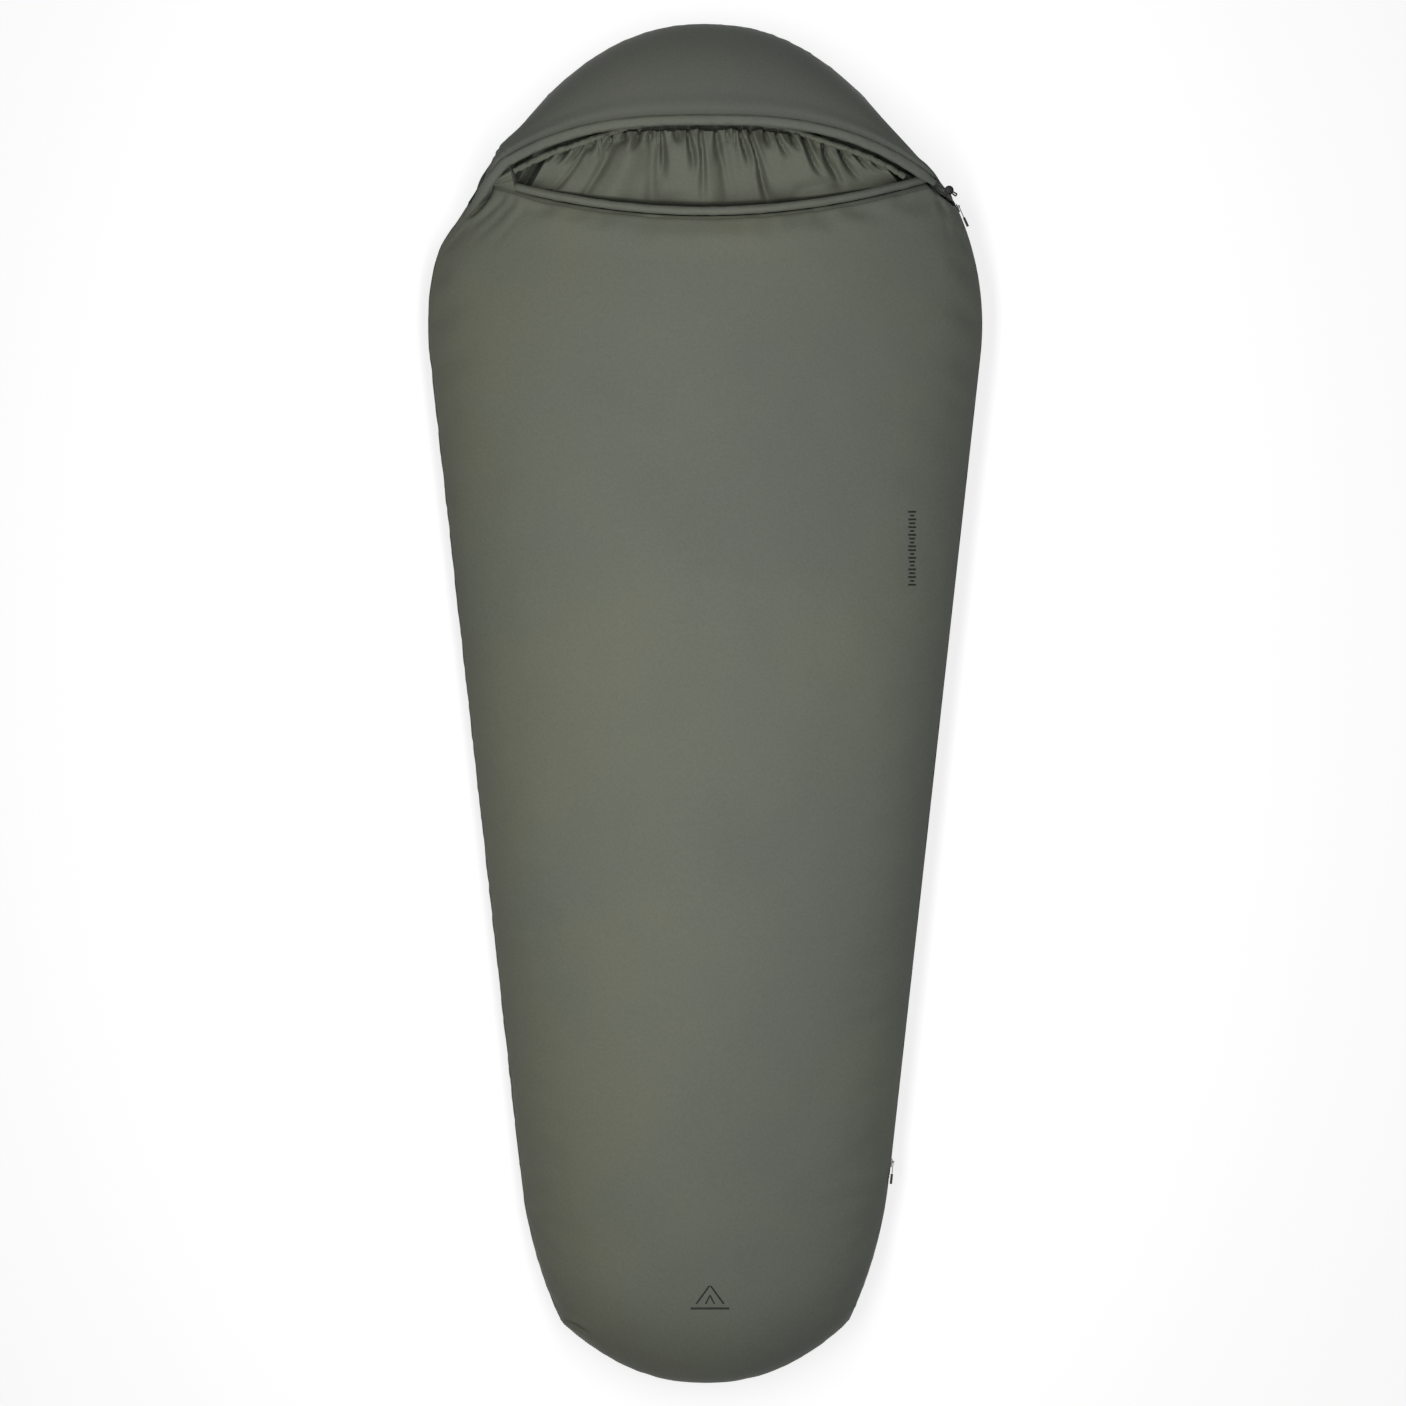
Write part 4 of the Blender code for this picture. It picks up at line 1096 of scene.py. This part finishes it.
# The brim's sleeve.
SLEEVE_STEP = 0.0035
CORNER_ROUTE = [
    (-0.3860, 0.7750, 0.0540), (-0.3870, 0.7830, 0.0710), (-0.3835, 0.7910, 0.0840),
    (-0.3775, 0.7990, 0.0920), (-0.3705, 0.8080, 0.0985), (-0.3635, 0.8180, 0.1040),
    (-0.3570, 0.8285, 0.1085), (-0.3505, 0.8385, 0.1125), (-0.3425, 0.8495, 0.1160),
]
brim_route = [*CORNER_ROUTE, *channel_point(np.linspace(-0.80, 0.92, 60))]
path = smooth_route(brim_route, SLEEVE_STEP)
share = np.linspace(0, 1, len(path))
left_taper = 0.45 + 0.55 * smooth((share - 0.02) / 0.09)
size = CHANNEL_RADIUS * left_taper * (1 - 0.45 * smooth((share - 0.965) / 0.035))


def sleeve_lift(step, angle):
    return 0.0006 * noise2(step * SLEEVE_STEP / 0.012, angle * 1.5, 71)


near_groove = path + np.array((0, 0.0062, 0.0074)) * size[:, None] / CHANNEL_RADIUS
stitches("brim_stitches", near_groove[30:-4], (0, 0.62, 0.78), SEAM_THREAD, radius=0.0005)
sleeve_path = path + np.array((0, 0.0022, 0))
brim_roll = roll(
    "brim_sleeve", sleeve_path, 0.86 * size, 0.92 * size, EDGING, 28, sleeve_lift, square=0.72,
)
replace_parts(brim_roll, "brim_channel")

# The cord inside the sleeve, from its fixed end at the left to the sleeve's mouth.
CORD_START = 20
cord_inside = roll("drawcord_in_sleeve", path[CORD_START:-2], TAIL_RADIUS, TAIL_RADIUS, CORD, 10)
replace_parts(cord_inside, "hood_drawcord")

# The fold of fabric that closes the left-hand corner of the opening, between the brim and the chin.
s = np.linspace(-0.770, -0.890, 61)[None, :]
v = np.linspace(0, 1, 41)[:, None]
chin_side = stack(NECK[0] * s, NECK[1] + chin(s) - 0.004, chin_z(s) - 0.003)
brim_side = stack(NECK[0] * s, NECK[1] + brim(s) - 0.002, roof_z(s) - 0.016)
fold = chin_side * (1 - v[..., None]) + brim_side * v[..., None]
fold[..., 2] += 0.006 * np.sin(np.pi * v)
fold[..., 2] -= 0.0045 * hill(v - 0.42 - 1.6 * (s + 0.85), 0.10)
fold[..., 2] -= 0.0030 * hill(v - 0.78 - 1.2 * (s + 0.85), 0.07)
fold[..., 2] -= 0.040 * smooth((s + 0.790) / 0.020) + 0.012 * smooth((v - 0.72) / 0.22)
fold = drape(fold)
corner_fold = padded_panel("corner_fold", fold, fold - np.array((0, 0, 0.0016)), SHELL)

# The roll along the chin, with round ends.
BINDING_STEP = 0.003
t = np.linspace(BINDING_LEFT + 0.03, BINDING_RIGHT, 300)
path = even_path(binding_point(t) - np.array((0, 0.0012, 0)), BINDING_STEP)


def binding_lift(step, angle):
    ends = np.minimum(step, len(path) - 1 - step) * BINDING_STEP
    cap = np.sqrt(np.clip(1 - (1 - np.minimum(ends, BINDING_RADIUS) / BINDING_RADIUS) ** 2, 0.02, 1))
    return 0.0005 * noise2(step * BINDING_STEP / 0.015, angle * 1.2, 72) + BINDING_RADIUS * (cap - 1)


binding = roll("chin_binding", path, BINDING_RADIUS, BINDING_RADIUS, EDGING, 20, binding_lift)
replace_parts(binding, "face_binding")

# Zip: teeth and tapes.
ZIP_LENGTH = SHOULDER_LENGTH + STRAIGHT_LENGTH - 0.005
TOOTH_PITCH = 0.0020


def zip_point(length, height, inset):
    where, _ = side_frame(length)
    span = top_height(length / SIDE_LENGTH) - SEAM_Z
    share = arch(np.abs(height) / span, TOP_POWER)
    return stack((where[..., 0] - inset) * share, where[..., 1], SEAM_Z + height)


def make_tape(name, sign):
    length = np.arange(0, ZIP_LENGTH, 0.006)
    height = sign * np.linspace(0.0033, 0.0140, 9)
    tucked = 0.0040 * smooth((np.abs(height) - 0.0050) / 0.0035)[None, :]
    outer = zip_point(length[:, None], height[None, :], 0.0012 + tucked)
    inner = zip_point(length[:, None], height[None, :], 0.0018 + tucked)
    return padded_panel(name, outer, inner, TAPE)


# A tooth's outline, pointed towards each neighbour: places along the zip in millimetres, and insets.
TOOTH_OUTLINE = [
    (-0.45, 0.0018), (-0.62, 0.0006), (-0.45, -0.0006), (0.45, -0.0006), (0.62, 0.0006), (0.45, 0.0018),
]
TOOTH_HEIGHTS = (-0.0008, 0.0030)


def make_teeth(name, sign, shift):
    length = np.arange(0.0042, ZIP_LENGTH - 0.0040, TOOTH_PITCH) + shift
    corners = np.array([(a, height, inset) for height in TOOTH_HEIGHTS for a, inset in TOOTH_OUTLINE])
    along, height, inset = corners.T[:, None]
    place = length[:, None] + along * 0.001
    points = zip_point(place, np.broadcast_to(sign * height, place.shape), inset)
    sides = [[k, (k + 1) % 6, (k + 1) % 6 + 6, k + 6] for k in range(6)]
    one = [list(range(6)), list(range(6, 12))] + sides
    made = make_object(name, points, repeated(one, len(length), 12), TEETH)
    made.data.shade_flat()
    return made


ZIP_HALVES = (("upper", 1, TOOTH_PITCH / 2, "top_panel"), ("lower", -1, 0.0, "base_panel"))
for half, sign, shift, panel in ZIP_HALVES:
    tape = make_tape(f"tape_{half}", sign)
    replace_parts(tape, f"zip_tape_{half}")
    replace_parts(make_teeth(f"teeth_{half}", sign, shift), f"zip_teeth_{half}")

# Draught tube behind the zip.
TUBE_INSET, TUBE_RADIUS = 0.047, 0.0138
where, angle = side_frame(np.linspace(0.03, ZIP_LENGTH - 0.03, 260))
inward = TUBE_INSET * np.stack([np.cos(angle), np.sin(angle)], -1)
tube_path = stack(where[..., 0] - inward[..., 0], where[..., 1] - inward[..., 1], SEAM_Z)
baffle = roll("draught_tube", tube_path, TUBE_RADIUS, TUBE_RADIUS, SHADED_LINING, 16)
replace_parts(baffle, "zip_baffle")

# Sliders, pulls, grips and the cord lock: the CAD's shapes with rounded edges.


def rounded(node, surface, body, width, segments=3):
    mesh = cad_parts[node].data.copy()
    work = bmesh.new()
    work.from_mesh(mesh)
    bmesh.ops.remove_doubles(work, verts=work.verts, dist=2e-6)
    bmesh.ops.dissolve_limit(work, angle_limit=math.radians(1), verts=work.verts, edges=work.edges)
    inner_edges = [edge for edge in work.edges if len(edge.link_faces) == 2]
    sharp = [edge for edge in inner_edges if edge.calc_face_angle(0) > math.radians(40)]
    bmesh.ops.bevel(
        work, geom=sharp, offset=width, offset_type="OFFSET", segments=segments, profile=0.5,
        affect="EDGES", clamp_overlap=True,
    )
    work.to_mesh(mesh)
    work.free()
    mesh.shade_smooth()
    mesh.set_sharp_from_angle(angle=math.radians(35))
    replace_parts(place_mesh(f"{node}_rounded", mesh, surface, body), node)


for end in ("top", "bottom"):
    rounded(f"zip_slider_{end}", METAL, f"{end}_slider", 0.00022)
    rounded(f"zip_pull_{end}", METAL, f"{end}_pull", 0.00025)
    rounded(f"zip_grip_{end}", PLASTIC, f"{end}_pull", 0.0009, 4)
rounded("cord_lock_barrel", PLASTIC, "cord_lock", 0.0006, 4)
rounded("cord_lock_button", PLASTIC, "lock_button", 0.0006, 4)

# The spring in the cord lock, a coil of wire at its rest length. The real spring shortens as its button
# is pressed; here it keeps one length.
SPRING_LOW, SPRING_HIGH, SPRING_PRESSED = 0.09365, 0.10080, 0.0030
COIL_RADIUS, WIRE_RADIUS, COIL_TURNS = 0.0036, 0.00035, 4
share = np.linspace(0, 1, 241)
turned = 2 * COIL_TURNS * np.pi * share
coil = stack(
    lock_centre[0] + COIL_RADIUS * np.cos(turned), lock_centre[1] + COIL_RADIUS * np.sin(turned),
    SPRING_LOW + (SPRING_HIGH - SPRING_LOW) * share,
)
spring = roll("lock_spring_coil", coil, WIRE_RADIUS, WIRE_RADIUS, STEEL, 10, body="cord_lock")
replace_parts(spring, "cord_lock_spring")
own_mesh(spring)

# The zip's stops and the cord's knot keep the CAD's shapes.
CARRIED = {
    "zip_top_stop_upper": METAL, "zip_top_stop_lower": METAL, "zip_bottom_stop": METAL,
    "drawcord_knot": CORD,
}
for name, surface in CARRIED.items():
    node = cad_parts[name]
    node.data.materials.clear()
    node.data.materials.append(surface)

# Floor, light and world.
floor_surface, tree, shader = principled("floor")
feed(tree, shader, {
    "Base Color": (0.40, 0.40, 0.40), "Roughness": 0.9,
    "Emission Color": (1, 1, 1), "Emission Strength": 0.80,
})
FLOOR = 30
mesh = bpy.data.meshes.new("floor")
corners = [(-FLOOR, -FLOOR, 0), (FLOOR, -FLOOR, 0), (FLOOR, FLOOR, 0), (-FLOOR, FLOOR, 0)]
mesh.from_pydata(corners, [], [(0, 1, 2, 3)])
mesh.materials.append(floor_surface)
floor = add_object("floor", mesh)
floor.visible_diffuse = False
floor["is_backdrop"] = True

light_data = bpy.data.lights.new("main_light", "AREA")
light_data.shape = "RECTANGLE"
light_data.size, light_data.size_y = 0.35, 2.6
light_data.energy = 15.6
light = add_object("main_light", light_data)
light.location = (-0.09, 0.13, 1.20)
light.rotation_euler = (0, math.radians(-3), 0)
light.visible_camera = False
world = bpy.data.worlds.new("world")
world.use_nodes = True
feed(world.node_tree, world.node_tree.nodes["Background"], {"Color": (1, 1, 1), "Strength": 0.20})
bpy.context.scene.world = world
bpy.context.scene.view_settings.view_transform = "Standard"

low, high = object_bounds()
{"cad": [list(cad_low), list(cad_high)], "visual": [list(low), list(high)]}
